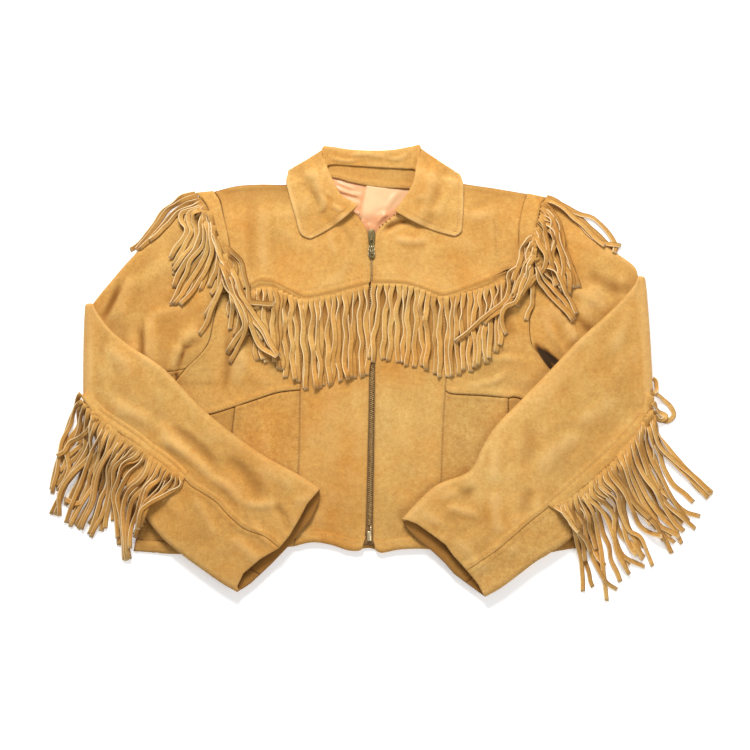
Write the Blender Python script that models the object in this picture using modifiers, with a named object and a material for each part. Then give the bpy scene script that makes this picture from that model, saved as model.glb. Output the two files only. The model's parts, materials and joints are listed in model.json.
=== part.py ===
"""A fringed suede western jacket, laid flat on its back with both sleeves folded over the front.

Units are millimetres in every table and metres in the mesh. +Y runs to the collar and +Z is up.
The origin lies on the zip line, on the plane the back panel rests on. "left" and "right" in the
names are as seen from above: left is the -X half, which is the wearer's right.
"""

import math
from random import Random

import bmesh
import bpy
from mathutils import Vector
from mathutils.bvhtree import BVHTree

MM = 0.001

# Walls and the room between them.
SUEDE = 1.6
LINING = 1.0
COLLAR_WALL = 2.0
STRAND_WALL = 1.4
SEAM_GAP = 0.4
LAYER_GAP = 0.35
DRAPE_GAP = 0.9

# How far one layer stands above the other inside the body, the upper arm, the elbow fold and
# the cuff, and how far the back rises over the collar's fall just below the neck.
HEM_ROOM = 8.0
CHEST_ROOM = 12.0
SIDE_ROOM = 1.95
ARM_ROOM = 12.0
FOLD_ROOM = 8.0
CUFF_ROOM = 13.0
COLLAR_LIFT = 2.4
COLLAR_LIFT_FROM = 190
COLLAR_LIFT_RUN = 16
COLLAR_LIFT_HALF = 98
COLLAR_LIFT_FADE = 14

# Shape of the fronts: where the crown is full, how square it is, and the slope at the shoulder.
CROWN_FROM = -215
CROWN_RUN = 90
CROWN_SQUARE = 2.6
EDGE_SQUARE = 8
SHOULDER_RUN = 42
ARMHOLE_ROUND = 0.7

# Fringe.
STRAND_WIDTH = 5.0
STRAND_ROWS = 5
STRAND_GAP = 0.9

# Zip.
TAPE_WIDTH = 22.0
TAPE_WALL = 1.0
CHAIN_WIDTH = 6.0
CHAIN_HEIGHT = 2.0
CHAIN_SHARES = (0.018, 0.93)
TAPE_SHARES = (0.02, 0.985)
STRIP_STEPS = 14
SLIDER_SIZE = (9.6, 13.0, 2.6)
SLIDER_ROUND = 0.6
PULL_LENGTH = 22.0
PULL_WIDTH = 6.4
PULL_WALL = 1.2
PIN_BOX_SIZE = (7.2, 11.0, 2.6)
PIN_BOX_ROUND = 0.4
PIN_BOX_LIFT = 0.3
BRIDGE_RADIUS = 0.6
BRIDGE_SPAN = 8.0
BRIDGE_RISE = 4.6
BRIDGE_SINK = 0.6
AXIS_LIFT = 1.9
EYE_LENGTH = 7.0
BAR_HALF = 0.6
PULL_DROP = 2.8
SLIDER_SHARE = 0.025
PIN_BOX_SHARE = 0.955

# Seam outlines in plan, each an ordered list of (x, y).
SHOULDER = {
    "left": [(-64, 258), (-85, 246), (-106, 240), (-140, 240), (-170, 238), (-198, 231)],
    "right": [(60, 258), (85, 247), (114, 241), (148, 236), (172, 232), (195, 228)],
}
ARMHOLE = {
    "left": [(-198, 231), (-190, 218), (-184, 188), (-179, 163), (-183, 133), (-191, 101),
             (-198, 70), (-204, 43), (-216, 26), (-233, 10), (-250, -11)],
    "right": [(195, 228), (188, 204), (184, 168), (191, 133), (202, 104), (201, 85), (197, 68),
              (199, 41), (209, 26), (223, 8), (250, -11)],
}
SIDE = {
    "left": [(-250, -11), (-262, -60), (-280, -135), (-299, -219)],
    "right": [(250, -11), (252, -60), (255, -135), (257, -215)],
}
NECK = {
    "left": [(-64, 258), (-63, 240), (-56, 224), (-42, 213), (-24, 206), (-11, 194), (-6, 181)],
    "right": [(60, 258), (60, 240), (52, 222), (38, 208), (24, 199), (12, 189), (5, 179)],
}
ZIP_EDGE = {
    "left": [(-6, 181), (-6, 116), (-6, 8), (-9, -92), (-11, -192), (-11, -217)],
    "right": [(5, 179), (5, 116), (7, 8), (5, -92), (3, -192), (4, -217)],
}
YOKE_EDGE = {
    "left": [(-6, 116), (-28, 109), (-56, 102), (-84, 98), (-104, 107), (-122, 116), (-139, 118),
             (-155, 111), (-191, 101)],
    "right": [(5, 116), (39, 115), (65, 108), (89, 100), (117, 108), (144, 118), (177, 133),
              (202, 104)],
}
PRINCESS = {
    "left": [(-84, 98), (-85, 45), (-90, -17), (-91, -80), (-93, -140), (-98, -212)],
    "right": [(89, 100), (94, 45), (92, -18), (89, -60), (87, -120), (86, -217)],
}
POCKET_SEAM = {
    "left": [(-90, -17), (-116, -20), (-139, -27), (-171, -38), (-204, -48), (-262, -60)],
    "right": [(92, -18), (101, -22), (138, -24), (170, -27), (188, -29), (252, -60)],
}
POCKET_SLIT = {
    "left": [(-171, -38), (-175, -72), (-182, -150), (-188, -221)],
    "right": [(170, -27), (171, -60), (172, -130), (175, -221)],
}
HEM = {
    "left": [(-11, -217), (-30, -216), (-52, -210), (-75, -207), (-98, -212), (-144, -217),
             (-188, -221), (-244, -222), (-299, -219)],
    "right": [(4, -217), (12, -219), (35, -216), (60, -215), (86, -217), (130, -220),
              (175, -221), (222, -220), (257, -215)],
}

# Segments along each stretch, the same for the two pieces that meet there.
ACROSS_CENTRE = 5
ACROSS_POCKET = 4
ACROSS_FLANK = 3
DOWN_YOKE = 5
DOWN_CHEST = 6
DOWN_SKIRT = 7
ACROSS_BACK = 12
ACROSS_NECK = 10
DOWN_LINING = 6

# Columns across one layer of a flattened sleeve, and the ones that lie on its two seams.
AROUND_HALF = 10
BACK_COLUMN = 7
FRONT_COLUMN = 8

# The largest soft folds: x, y of both ends, half width and height.
FOLDS = [
    {"start": (-182, 98), "end": (-178, -30), "half_width": 17, "height": 4.0},
    {"start": (-153, 225), "end": (-150, 120), "half_width": 16, "height": 2.5},
    {"start": (192, 222), "end": (118, 188), "half_width": 15, "height": 3.0},
    {"start": (196, 96), "end": (170, 10), "half_width": 18, "height": 3.5},
    {"start": (-315, 120), "end": (-330, 76), "half_width": 18, "height": 3.0},
    {"start": (-279, 81), "end": (-279, 26), "half_width": 16, "height": -2.5},
    {"start": (290, 120), "end": (262, 60), "half_width": 18, "height": 3.0},
]

# Each sleeve: the outer (a) and inner (b) edges of its flattened tube, above and below the elbow
# fold, and the places of its two seams as shares of the width.
SLEEVES = {
    "left": {
        "upper_a": [(-198, 231), (-221, 222), (-245, 202), (-270, 180), (-305, 144), (-335, 109),
                    (-350, 90)],
        "upper_b": [(-250, -11), (-285, -20), (-320, -29), (-352, -36)],
        "fore_a": [(-350, 90), (-341, 75), (-326, 56), (-301, 36), (-262, 10), (-224, -30),
                   (-205, -48), (-175, -72), (-135, -100), (-91, -124), (-66, -140)],
        "fore_b": [(-352, -36), (-343, -73), (-322, -113), (-297, -155), (-276, -186),
                   (-258, -206), (-233, -226), (-208, -244), (-188, -258), (-169, -269)],
        "back_seam": {"armhole": 0.79, "elbow": 0.90, "fore": 0.80, "cuff": 0.53},
        "outward": -1,
    },
    "right": {
        "upper_a": [(195, 228), (222, 222), (238, 210), (255, 196), (272, 178), (300, 158),
                    (328, 138), (333, 124)],
        "upper_b": [(250, -11), (285, -20), (317, -30), (343, -36)],
        "fore_a": [(333, 124), (326, 110), (299, 81), (259, 45), (222, 6), (189, -28),
                   (156, -62), (138, -90), (122, -119), (82, -136), (59, -156), (38, -178)],
        "fore_b": [(343, -36), (337, -76), (314, -122), (283, -165), (251, -200), (222, -221),
                   (204, -232), (179, -251), (160, -265), (142, -275)],
        "back_seam": {"armhole": 0.79, "elbow": 0.90, "fore": 0.84, "cuff": 0.75},
        "outward": 1,
    },
}
FRONT_SEAM = {"armhole": 0.905, "elbow": 0.75, "cuff": 0.80}
UPPER_SECTIONS = 6
FOLD_STEPS = 4
FORE_SECTIONS = 11
CUFF_OVERHANG = 5.0
SLEEVE_SEAM_GAP = 0.6
ARMHOLE_GAP = 0.8
FORE_CLEARANCE = 0.8

# Collar, one row for each section round the neck from the -X front edge to the +X front edge:
# the neck seam, the roll line and the outer edge in plan, and whether the fall lies behind.
COLLAR = [
    {"seam": (-24, 205), "roll": (-20, 211), "edge": (-79, 171), "behind": 0.0},
    {"seam": (-34, 209), "roll": (-30, 217), "edge": (-90, 178), "behind": 0.0},
    {"seam": (-46, 215), "roll": (-41, 225), "edge": (-94, 197), "behind": 0.0},
    {"seam": (-57, 226), "roll": (-49, 239), "edge": (-99, 218), "behind": 0.0},
    {"seam": (-62, 240), "roll": (-53, 254), "edge": (-104, 240), "behind": 0.0},
    {"seam": (-61, 251), "roll": (-57, 270), "edge": (-107, 253), "behind": 0.3},
    {"seam": (-57, 258), "roll": (-61, 283), "edge": (-103, 258), "behind": 0.7},
    {"seam": (-48, 261), "roll": (-50, 284), "edge": (-86, 245), "behind": 1.0},
    {"seam": (-26, 261), "roll": (-28, 281), "edge": (-44, 231), "behind": 1.0},
    {"seam": (0, 260), "roll": (0, 280), "edge": (0, 227), "behind": 1.0},
    {"seam": (24, 259), "roll": (26, 281), "edge": (44, 231), "behind": 1.0},
    {"seam": (44, 259), "roll": (47, 284), "edge": (84, 244), "behind": 1.0},
    {"seam": (54, 257), "roll": (59, 284), "edge": (107, 254), "behind": 0.7},
    {"seam": (58, 249), "roll": (57, 271), "edge": (113, 241), "behind": 0.3},
    {"seam": (58, 238), "roll": (54, 254), "edge": (113, 224), "behind": 0.0},
    {"seam": (52, 223), "roll": (50, 237), "edge": (113, 207), "behind": 0.0},
    {"seam": (41, 211), "roll": (42, 220), "edge": (112, 188), "behind": 0.0},
    {"seam": (32, 203), "roll": (31, 206), "edge": (104, 177), "behind": 0.0},
]
ROLL_HEIGHT = 4.6
COLLAR_SEAM_REACH = 5.0
COLLAR_FRONT_SECTIONS = 5
STAND_POINTS = 2
FALL_POINTS = 6

BACK_NECK = [(-64, 258), (-45, 261), (0, 260), (35, 259), (60, 258)]
FACING_EDGE = [(-56, 250), (-41, 247), (-28, 243), (-8, 239), (12, 236), (35, 235), (52, 234)]
LINING_EDGE = [(-58, 170), (-20, 160), (20, 158), (54, 168)]

# Fringe roots and the strands that leave them. Each row gives a place along the strip from 0 to
# 1, the strip's depth there, the strands' length and their way, in degrees from straight down.
YOKE_FRINGE = {
    "left": {
        "root": [(-8, 115.4), (-28, 108.4), (-56, 101.4), (-84, 97.4), (-104, 106.2),
                 (-122, 115.4), (-139, 117.4), (-150, 112.4)],
        "count": 21,
        "rows": [
            {"at": 0.0, "depth": 4, "length": 106, "way": 0},
            {"at": 0.3, "depth": 5, "length": 103, "way": 0},
            {"at": 0.5, "depth": 6, "length": 109, "way": 0},
            {"at": 0.75, "depth": 9, "length": 97, "way": 0},
            {"at": 1.0, "depth": 12, "length": 80, "way": 0},
        ],
    },
    "right": {
        "root": [(8, 115.2), (39, 114.2), (65, 107.2), (89, 99.2), (117, 107), (144, 117),
                 (166, 126)],
        "count": 21,
        "rows": [
            {"at": 0.0, "depth": 4, "length": 92, "way": 0},
            {"at": 0.3, "depth": 5, "length": 95, "way": 0},
            {"at": 0.55, "depth": 6, "length": 92, "way": 0},
            {"at": 0.8, "depth": 9, "length": 94, "way": 2},
            {"at": 1.0, "depth": 11, "length": 72, "way": 3},
        ],
    },
}
ARMHOLE_FRINGE = {
    "left": {
        "root": [(-203, 230), (-196, 217), (-190, 200), (-186, 180), (-183, 162), (-182, 148)],
        "count": 13,
        "rows": [
            {"at": 0.0, "depth": 16, "length": 108, "way": -53},
            {"at": 0.25, "depth": 20, "length": 100, "way": -48},
            {"at": 0.5, "depth": 17, "length": 104, "way": -44},
            {"at": 0.75, "depth": 13, "length": 104, "way": -42},
            {"at": 1.0, "depth": 9, "length": 104, "way": -40},
        ],
    },
    "right": {
        "root": [(200, 227), (193, 210), (189, 190), (188, 170), (189, 155)],
        "count": 11,
        "rows": [
            {"at": 0.0, "depth": 18, "length": 108, "way": 54},
            {"at": 0.25, "depth": 20, "length": 98, "way": 46},
            {"at": 0.5, "depth": 17, "length": 94, "way": 42},
            {"at": 0.75, "depth": 13, "length": 96, "way": 40},
            {"at": 1.0, "depth": 9, "length": 98, "way": 38},
        ],
    },
}
SLEEVE_FRINGE = {
    "left": {
        "root": [(-346, -40), (-335, -51), (-320, -63.5), (-292, -82.5), (-275, -96.5),
                 (-258, -109.5), (-244, -121)],
        "count": 24,
        "rows": [
            {"at": 0.0, "depth": 4, "length": 142, "way": -21},
            {"at": 0.25, "depth": 4, "length": 140, "way": -20},
            {"at": 0.5, "depth": 4, "length": 136, "way": -17},
            {"at": 0.75, "depth": 4, "length": 122, "way": -13},
            {"at": 1.0, "depth": 4, "length": 104, "way": -6},
        ],
    },
    "right": {
        "root": [(340, -48), (334, -64), (318, -84.5), (299, -107), (283, -122), (263, -140),
                 (246, -150.5), (228, -161)],
        "count": 24,
        "rows": [
            {"at": 0.0, "depth": 4, "length": 134, "way": 40},
            {"at": 0.25, "depth": 4, "length": 142, "way": 34},
            {"at": 0.5, "depth": 4, "length": 142, "way": 31},
            {"at": 0.75, "depth": 4, "length": 128, "way": 26},
            {"at": 1.0, "depth": 4, "length": 112, "way": 18},
        ],
    },
}

COLOURS = {
    "suede": ((0.73, 0.42, 0.14), 0.95, 0.0),
    "lining": ((0.90, 0.58, 0.34), 0.6, 0.0),
    "zip_tape": ((0.30, 0.17, 0.06), 0.9, 0.0),
    "zip_metal": ((0.33, 0.22, 0.10), 0.4, 1.0),
    "bright_brass": ((0.85, 0.70, 0.42), 0.3, 1.0),
}


# --- plain geometry ---------------------------------------------------------------------------


def smooth_step(value):
    value = min(max(value, 0.0), 1.0)
    return value * value * (3 - 2 * value)


def smooth_line(points, steps=12):
    """A Catmull-Rom curve through the points, as a fine polyline."""
    points = [Vector(p) for p in points]
    ends = [2 * points[0] - points[1], *points, 2 * points[-1] - points[-2]]
    line = []
    for p0, p1, p2, p3 in zip(ends, ends[1:], ends[2:], ends[3:]):
        for step in range(steps):
            t = step / steps
            line.append(0.5 * (2 * p1 + (p2 - p0) * t + (2 * p0 - 5 * p1 + 4 * p2 - p3) * t * t
                               + (3 * p1 - p0 - 3 * p2 + p3) * t ** 3))
    line.append(points[-1])
    return line


def at_share(line, share):
    """The point at this share of a polyline's length."""
    lengths = [(b - a).length for a, b in zip(line, line[1:])]
    left = min(max(share, 0.0), 1.0) * sum(lengths)
    for a, b, length in zip(line, line[1:], lengths):
        if left <= length and length:
            return a.lerp(b, left / length)
        left -= length
    return line[-1].copy()


def spaced(points, count):
    line = smooth_line(points)
    return [at_share(line, i / count) for i in range(count + 1)]


def part_of(points, start, end):
    """The stretch of an outline between two of its own points."""
    first, last = points.index(start), points.index(end)
    return points[first:last + 1]


def read_row(rows, share, name):
    """A column of a table, read between its rows."""
    for low, high in zip(rows, rows[1:]):
        if share <= high["at"]:
            t = smooth_step((share - low["at"]) / (high["at"] - low["at"]))
            return low[name] * (1 - t) + high[name] * t
    return rows[-1][name]


def value_at(pairs, x):
    """Straight-line reading of (x, value) pairs sorted by x."""
    if x <= pairs[0][0]:
        return pairs[0][1]
    for (x0, v0), (x1, v1) in zip(pairs, pairs[1:]):
        if x <= x1:
            return v0 + (v1 - v0) * (x - x0) / (x1 - x0)
    return pairs[-1][1]


def round_shares(count):
    """Shares from 0 to 1, close together near both ends, as round a flattened tube."""
    return [(1 - math.cos(math.pi * i / count)) / 2 for i in range(count + 1)]


def coons(bottom, top, left, right):
    """Rows of plan points that fill four edges with shared corners."""
    rows = []
    for j, (west, east) in enumerate(zip(left, right)):
        v = j / (len(left) - 1)
        row = []
        for i, (south, north) in enumerate(zip(bottom, top)):
            u = i / (len(bottom) - 1)
            ruled = south.lerp(north, v) + west.lerp(east, u)
            row.append(ruled - bottom[0].lerp(bottom[-1], u).lerp(top[0].lerp(top[-1], u), v))
        rows.append(row)
    return rows


def inset(rows, gap):
    """The same grid with its outer points drawn in by the gap."""
    last_row, last_column = len(rows) - 1, len(rows[0]) - 1
    result = []
    for j, row in enumerate(rows):
        new_row = []
        for i, point in enumerate(row):
            shift = Vector((0, 0))
            if i in (0, last_column):
                shift += (row[1 if i == 0 else i - 1] - point).normalized()
            if j in (0, last_row):
                shift += (rows[1 if j == 0 else j - 1][i] - point).normalized()
            new_row.append(point + shift * gap)
        result.append(new_row)
    return result


# --- objects ----------------------------------------------------------------------------------


def clear_scene():
    for obj in list(bpy.data.objects):
        bpy.data.objects.remove(obj, do_unlink=True)


def material_of(name, kind):
    colour, roughness, metallic = COLOURS[kind]
    material = bpy.data.materials.new(name)
    material.use_nodes = True
    shader = material.node_tree.nodes["Principled BSDF"]
    shader.inputs["Base Color"].default_value = (*colour, 1)
    shader.inputs["Roughness"].default_value = roughness
    shader.inputs["Metallic"].default_value = metallic
    return material


def add_object(name, mesh, kind):
    obj = bpy.data.objects.new(name, mesh)
    mesh.materials.append(material_of(name, kind))
    jacket.objects.link(obj)
    return obj


def grid_mesh(rows, keep=None):
    """A sheet of quads through rows of (x, y, z) points, without the faces that keep refuses."""
    bm = bmesh.new()
    columns = len(rows[0]) - 1
    bmesh.ops.create_grid(bm, x_segments=columns, y_segments=len(rows) - 1, size=1)
    bm.verts.ensure_lookup_table()
    bm.faces.ensure_lookup_table()
    for vert, point in zip(bm.verts, (point for row in rows for point in row)):
        vert.co = Vector(point) * MM
    if keep:
        unwanted = [f for n, f in enumerate(bm.faces) if not keep(n % columns, n // columns)]
        bmesh.ops.delete(bm, geom=unwanted, context="FACES")
    return bm


def finish_mesh(bm, name):
    mesh = bpy.data.meshes.new(name)
    bm.to_mesh(mesh)
    bm.free()
    return mesh


def raised(rows, name, wall, kind, keep=None):
    """A piece whose wall stands straight up from its underside, so its seams are upright."""
    bm = grid_mesh(rows, keep)
    made = bmesh.ops.extrude_face_region(bm, geom=bm.faces[:])["geom"]
    top = [item for item in made if isinstance(item, bmesh.types.BMVert)]
    bmesh.ops.translate(bm, verts=top, vec=(0, 0, wall * MM))
    bmesh.ops.recalc_face_normals(bm, faces=bm.faces[:])
    obj = add_object(name, finish_mesh(bm, name), kind)
    rest_on(obj)
    return obj


def thickened(rows, name, wall, kind):
    """A bent piece: its middle surface with an even wall on both sides."""
    bm = grid_mesh(rows)
    bmesh.ops.recalc_face_normals(bm, faces=bm.faces[:])
    obj = add_object(name, finish_mesh(bm, name), kind)
    solidify = obj.modifiers.new("Wall", "SOLIDIFY")
    solidify.thickness = wall * MM
    solidify.offset = 0
    rest_on(obj)
    return obj


# --- what already lies below ------------------------------------------------------------------

ABOVE_ALL = 200
supports = []


def rest_on(obj):
    bpy.context.view_layer.update()
    graph = bpy.context.evaluated_depsgraph_get()
    supports.append(BVHTree.FromObject(obj, graph))


def top_of(x, y, trees=None):
    """Height of the pile at a plan point, with the ground at 0."""
    start = Vector((x, y, ABOVE_ALL)) * MM
    height = 0.0
    for tree in supports if trees is None else trees:
        hit = tree.ray_cast(start, Vector((0, 0, -1)))[0]
        if hit is not None:
            height = max(height, hit.z / MM)
    return height


def pile_top(x, y, reach, trees=None):
    """Highest point of the pile within reach of a plan point, so that seam gaps don't count."""
    offsets = ((0, 0), (reach, 0), (-reach, 0), (0, reach), (0, -reach))
    return max(top_of(x + dx, y + dy, trees) for dx, dy in offsets)


def lay_clear(rows, half_wall, clearance, fixed_rows=0, trees=None, steps=16):
    """Raises a grid's points until each of its faces clears what lies below it."""
    across, rounds, close_enough, easing = 4, 30, 0.02, 0.7
    checks = []
    for j in range(len(rows) - 1):
        for i in range(len(rows[0]) - 1):
            corners = [(j, i), (j, i + 1), (j + 1, i), (j + 1, i + 1)]
            points = [rows[row][column] for row, column in corners]
            for n in range((across + 1) * (steps + 1)):
                u, v = n % (across + 1) / across, n // (across + 1) / steps
                weights = ((1 - u) * (1 - v), u * (1 - v), (1 - u) * v, u * v)
                spot = sum((p * w for p, w in zip(points, weights)), Vector((0, 0, 0)))
                needed = top_of(spot.x, spot.y, trees) + clearance + half_wall
                square = sum(w * w for w in weights)
                checks.append((corners, points, weights, square, needed))
    for _ in range(rounds):
        lifts = {}
        for corners, points, weights, square, needed in checks:
            short = needed - sum(p.z * w for p, w in zip(points, weights))
            if short > close_enough:
                for corner, weight in zip(corners, weights):
                    lift = short * weight / square
                    lifts[corner] = max(lifts.get(corner, 0.0), lift)
        if not lifts:
            break
        for (row, column), lift in lifts.items():
            if row >= fixed_rows:
                rows[row][column].z += lift * easing
    return rows


# --- body -------------------------------------------------------------------------------------


def armhole_top(share):
    """Height of the front's inner face along the armhole, from shoulder to armpit."""
    return SIDE_ROOM + (ARM_ROOM - SIDE_ROOM) * math.sin(math.pi * share) ** ARMHOLE_ROUND


def armhole_points(side):
    line = smooth_line(ARMHOLE[side])
    return [at_share(line, share) for share in round_shares(AROUND_HALF)]


def back_height(x, y):
    """The back lies on the ground, and on the collar's fall just below the neck."""
    inward = smooth_step((y - COLLAR_LIFT_FROM) / COLLAR_LIFT_RUN)
    beside = smooth_step(1 - (abs(x) - COLLAR_LIFT_HALF) / COLLAR_LIFT_FADE)
    return COLLAR_LIFT * inward * beside


def edge_tables(side):
    points = armhole_points(side)
    heights = [armhole_top(share) for share in round_shares(AROUND_HALF)]
    outline = [(p.y, abs(p.x)) for p in points] + [(y, abs(x)) for x, y in SIDE[side][1:]]
    levels = [(p.y, h) for p, h in zip(points, heights)] + [(SIDE[side][-1][1], SIDE_ROOM)]
    return sorted(outline), sorted(levels)


EDGES = {side: edge_tables(side) for side in ("left", "right")}
SHOULDER_LINE = sorted(SHOULDER["left"] + SHOULDER["right"])


def fold_height(x, y):
    total = 0.0
    for fold in FOLDS:
        start, end = Vector(fold["start"]), Vector(fold["end"])
        run = end - start
        share = (Vector((x, y)) - start).dot(run) / run.length_squared
        off = (Vector((x, y)) - start - run * min(max(share, 0.0), 1.0)).length
        total += fold["height"] * smooth_step(1 - off / fold["half_width"])
    return total


def front_height(x, y):
    """Inner face of the fronts: a soft crown between the zip, the armholes, sides and hem."""
    outline, levels = EDGES["left" if x < 0 else "right"]
    share = min(abs(x) / value_at(outline, y), 1.0)
    edge = value_at(levels, y)
    crown = HEM_ROOM + (CHEST_ROOM - HEM_ROOM) * smooth_step((y - CROWN_FROM) / CROWN_RUN)
    height = edge + (crown - edge) * (1 - share ** CROWN_SQUARE)
    inside = min(1.0, 4 * (1 - share))
    height += fold_height(x, y) * inside
    base = back_height(x, y) + SIDE_ROOM
    from_shoulder = smooth_step((value_at(SHOULDER_LINE, x) - y) / SHOULDER_RUN)
    edge_share = share ** EDGE_SQUARE
    return max(base, (base + (height - base) * from_shoulder) * (1 - edge_share)
               + max(edge, base) * edge_share)


def with_height(rows, height, lift=0.0):
    return [[Vector((p.x, p.y, height(p.x, p.y) + lift)) for p in row] for row in rows]


def lines_of(side):
    """Seam lines of one side, cut into the stretches that the pieces share."""
    yoke_low, princess_cross = PRINCESS[side][0], POCKET_SEAM[side][0]
    slit_top, slit_foot = POCKET_SLIT[side][0], POCKET_SLIT[side][-1]
    hem_cross = PRINCESS[side][-1]
    zip_cross, zip_foot = YOKE_EDGE[side][0], ZIP_EDGE[side][-1]
    armhole = armhole_points(side)
    half = AROUND_HALF // 2
    yoke = [*YOKE_EDGE[side][:-1], tuple(armhole[half])]
    across_side = ACROSS_POCKET + ACROSS_FLANK
    zip_line = smooth_line(ZIP_EDGE[side])
    cross = next(i for i, p in enumerate(zip_line) if p.y <= zip_cross[1])
    return {
        "neck": spaced([*NECK[side], zip_cross], DOWN_YOKE),
        "shoulder": spaced(SHOULDER[side], ACROSS_CENTRE + across_side),
        "armhole_high": armhole[:half + 1],
        "armhole_low": [*armhole[half:], Vector(POCKET_SEAM[side][-1])],
        "yoke_in": spaced(part_of(yoke, zip_cross, yoke_low), ACROSS_CENTRE),
        "yoke_out": spaced(yoke[yoke.index(yoke_low):], across_side),
        "princess_high": spaced(part_of(PRINCESS[side], yoke_low, princess_cross), DOWN_CHEST),
        "princess_low": spaced(part_of(PRINCESS[side], princess_cross, hem_cross), DOWN_SKIRT),
        "zip": [at_share(zip_line[cross:], i / (DOWN_CHEST + DOWN_SKIRT))
                for i in range(DOWN_CHEST + DOWN_SKIRT + 1)],
        "pocket_in": spaced(part_of(POCKET_SEAM[side], princess_cross, slit_top), ACROSS_POCKET),
        "pocket_out": spaced(POCKET_SEAM[side][POCKET_SEAM[side].index(slit_top):],
                             ACROSS_FLANK),
        "slit": spaced(POCKET_SLIT[side], DOWN_SKIRT),
        "side": spaced([POCKET_SEAM[side][-1], *SIDE[side][2:]], DOWN_SKIRT),
        "hem_centre": spaced(part_of(HEM[side], zip_foot, hem_cross), ACROSS_CENTRE),
        "hem_pocket": spaced(part_of(HEM[side], hem_cross, slit_foot), ACROSS_POCKET),
        "hem_flank": spaced(HEM[side][HEM[side].index(slit_foot):], ACROSS_FLANK),
    }


def front_pieces(side):
    """The five pieces of one front, each a grid between its seams."""
    lines = lines_of(side)
    lines["zip"][0] = lines["yoke_in"][0]
    grids = {
        "yoke": coons(lines["yoke_in"] + lines["yoke_out"][1:], lines["shoulder"],
                      lines["neck"][::-1], lines["armhole_high"][::-1]),
        "front_centre": coons(lines["hem_centre"], lines["yoke_in"], lines["zip"][::-1],
                              (lines["princess_high"] + lines["princess_low"][1:])[::-1]),
        "front_chest": coons(lines["pocket_in"] + lines["pocket_out"][1:], lines["yoke_out"],
                             lines["princess_high"][::-1], lines["armhole_low"][::-1]),
        "front_pocket": coons(lines["hem_pocket"], lines["pocket_in"],
                              lines["princess_low"][::-1], lines["slit"][::-1]),
        "front_flank": coons(lines["hem_flank"], lines["pocket_out"], lines["slit"][::-1],
                             lines["side"][::-1]),
    }
    for name, grid in grids.items():
        rows = with_height(inset(grid, SEAM_GAP / 2), front_height)
        raised(lay_clear(rows, 0.0, SIDE_ROOM - SUEDE), f"{name}_{side}", SUEDE, "suede")


def back_piece():
    sides = {}
    for side in ("left", "right"):
        below = spaced(SIDE[side], DOWN_SKIRT)[1:]
        sides[side] = [*armhole_points(side), *below][::-1]
    bottom = spaced([*HEM["left"][::-1], *HEM["right"]], ACROSS_BACK)
    top = spaced([*SHOULDER["left"][::-1], *BACK_NECK[1:-1], *SHOULDER["right"]], ACROSS_BACK)
    top[0], top[-1] = sides["left"][-1], sides["right"][-1]
    bottom[0], bottom[-1] = sides["left"][0], sides["right"][0]
    rows = inset(coons(bottom, top, sides["left"], sides["right"]), SEAM_GAP / 2)
    raised(with_height(rows, back_height), "back", SUEDE, "suede")


def neck_pieces():
    """The suede facing at the back of the neck, and the lining that shows below it."""
    def on_back(x, y):
        return back_height(x, y) + SUEDE + LAYER_GAP

    neck, facing = spaced(BACK_NECK, ACROSS_NECK), spaced(FACING_EDGE, ACROSS_NECK)
    lining = spaced(LINING_EDGE, ACROSS_NECK)
    band = inset([facing, [a.lerp(b, 0.5) for a, b in zip(facing, neck)], neck], SEAM_GAP / 2)
    band = lay_clear(with_height(band, on_back), 0.0, LAYER_GAP)
    raised(band, "back_neck_facing", SUEDE, "suede")
    rows = [[a.lerp(b, j / DOWN_LINING) for a, b in zip(lining, facing)]
            for j in range(DOWN_LINING + 1)]
    rows = lay_clear(with_height(inset(rows, SEAM_GAP / 2), on_back), 0.0, LAYER_GAP)
    raised(rows, "neck_lining", LINING, "lining")


# --- sleeves ----------------------------------------------------------------------------------


def tube_profile(share, width, half):
    """Half thickness of a flattened tube across its width, as a share of the thickest."""
    from_edge = min(share, 1 - share) * width / half
    rounded = math.sqrt(max(0.0, 1 - (1 - min(from_edge, 1.0)) ** 2))
    return rounded * (0.7 + 0.3 * (1 - abs(2 * share - 1) ** 2.4))


def seam_places(table, start, end, t):
    return table[start] + (table[end] - table[start]) * smooth_step(t)


def layer_shares(column, seam):
    """Shares across one layer of the tube, with this column on the seam."""
    shares = round_shares(AROUND_HALF)
    fixed = shares[column]
    return [share * seam / fixed if k <= column else 1 - (1 - share) * (1 - seam) / (1 - fixed)
            for k, share in enumerate(shares)]


def ring_shares(back_seam, front_seam):
    """Shares across the tube for its front layer and for its back layer."""
    return layer_shares(FRONT_COLUMN, front_seam), layer_shares(BACK_COLUMN, back_seam)


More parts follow.
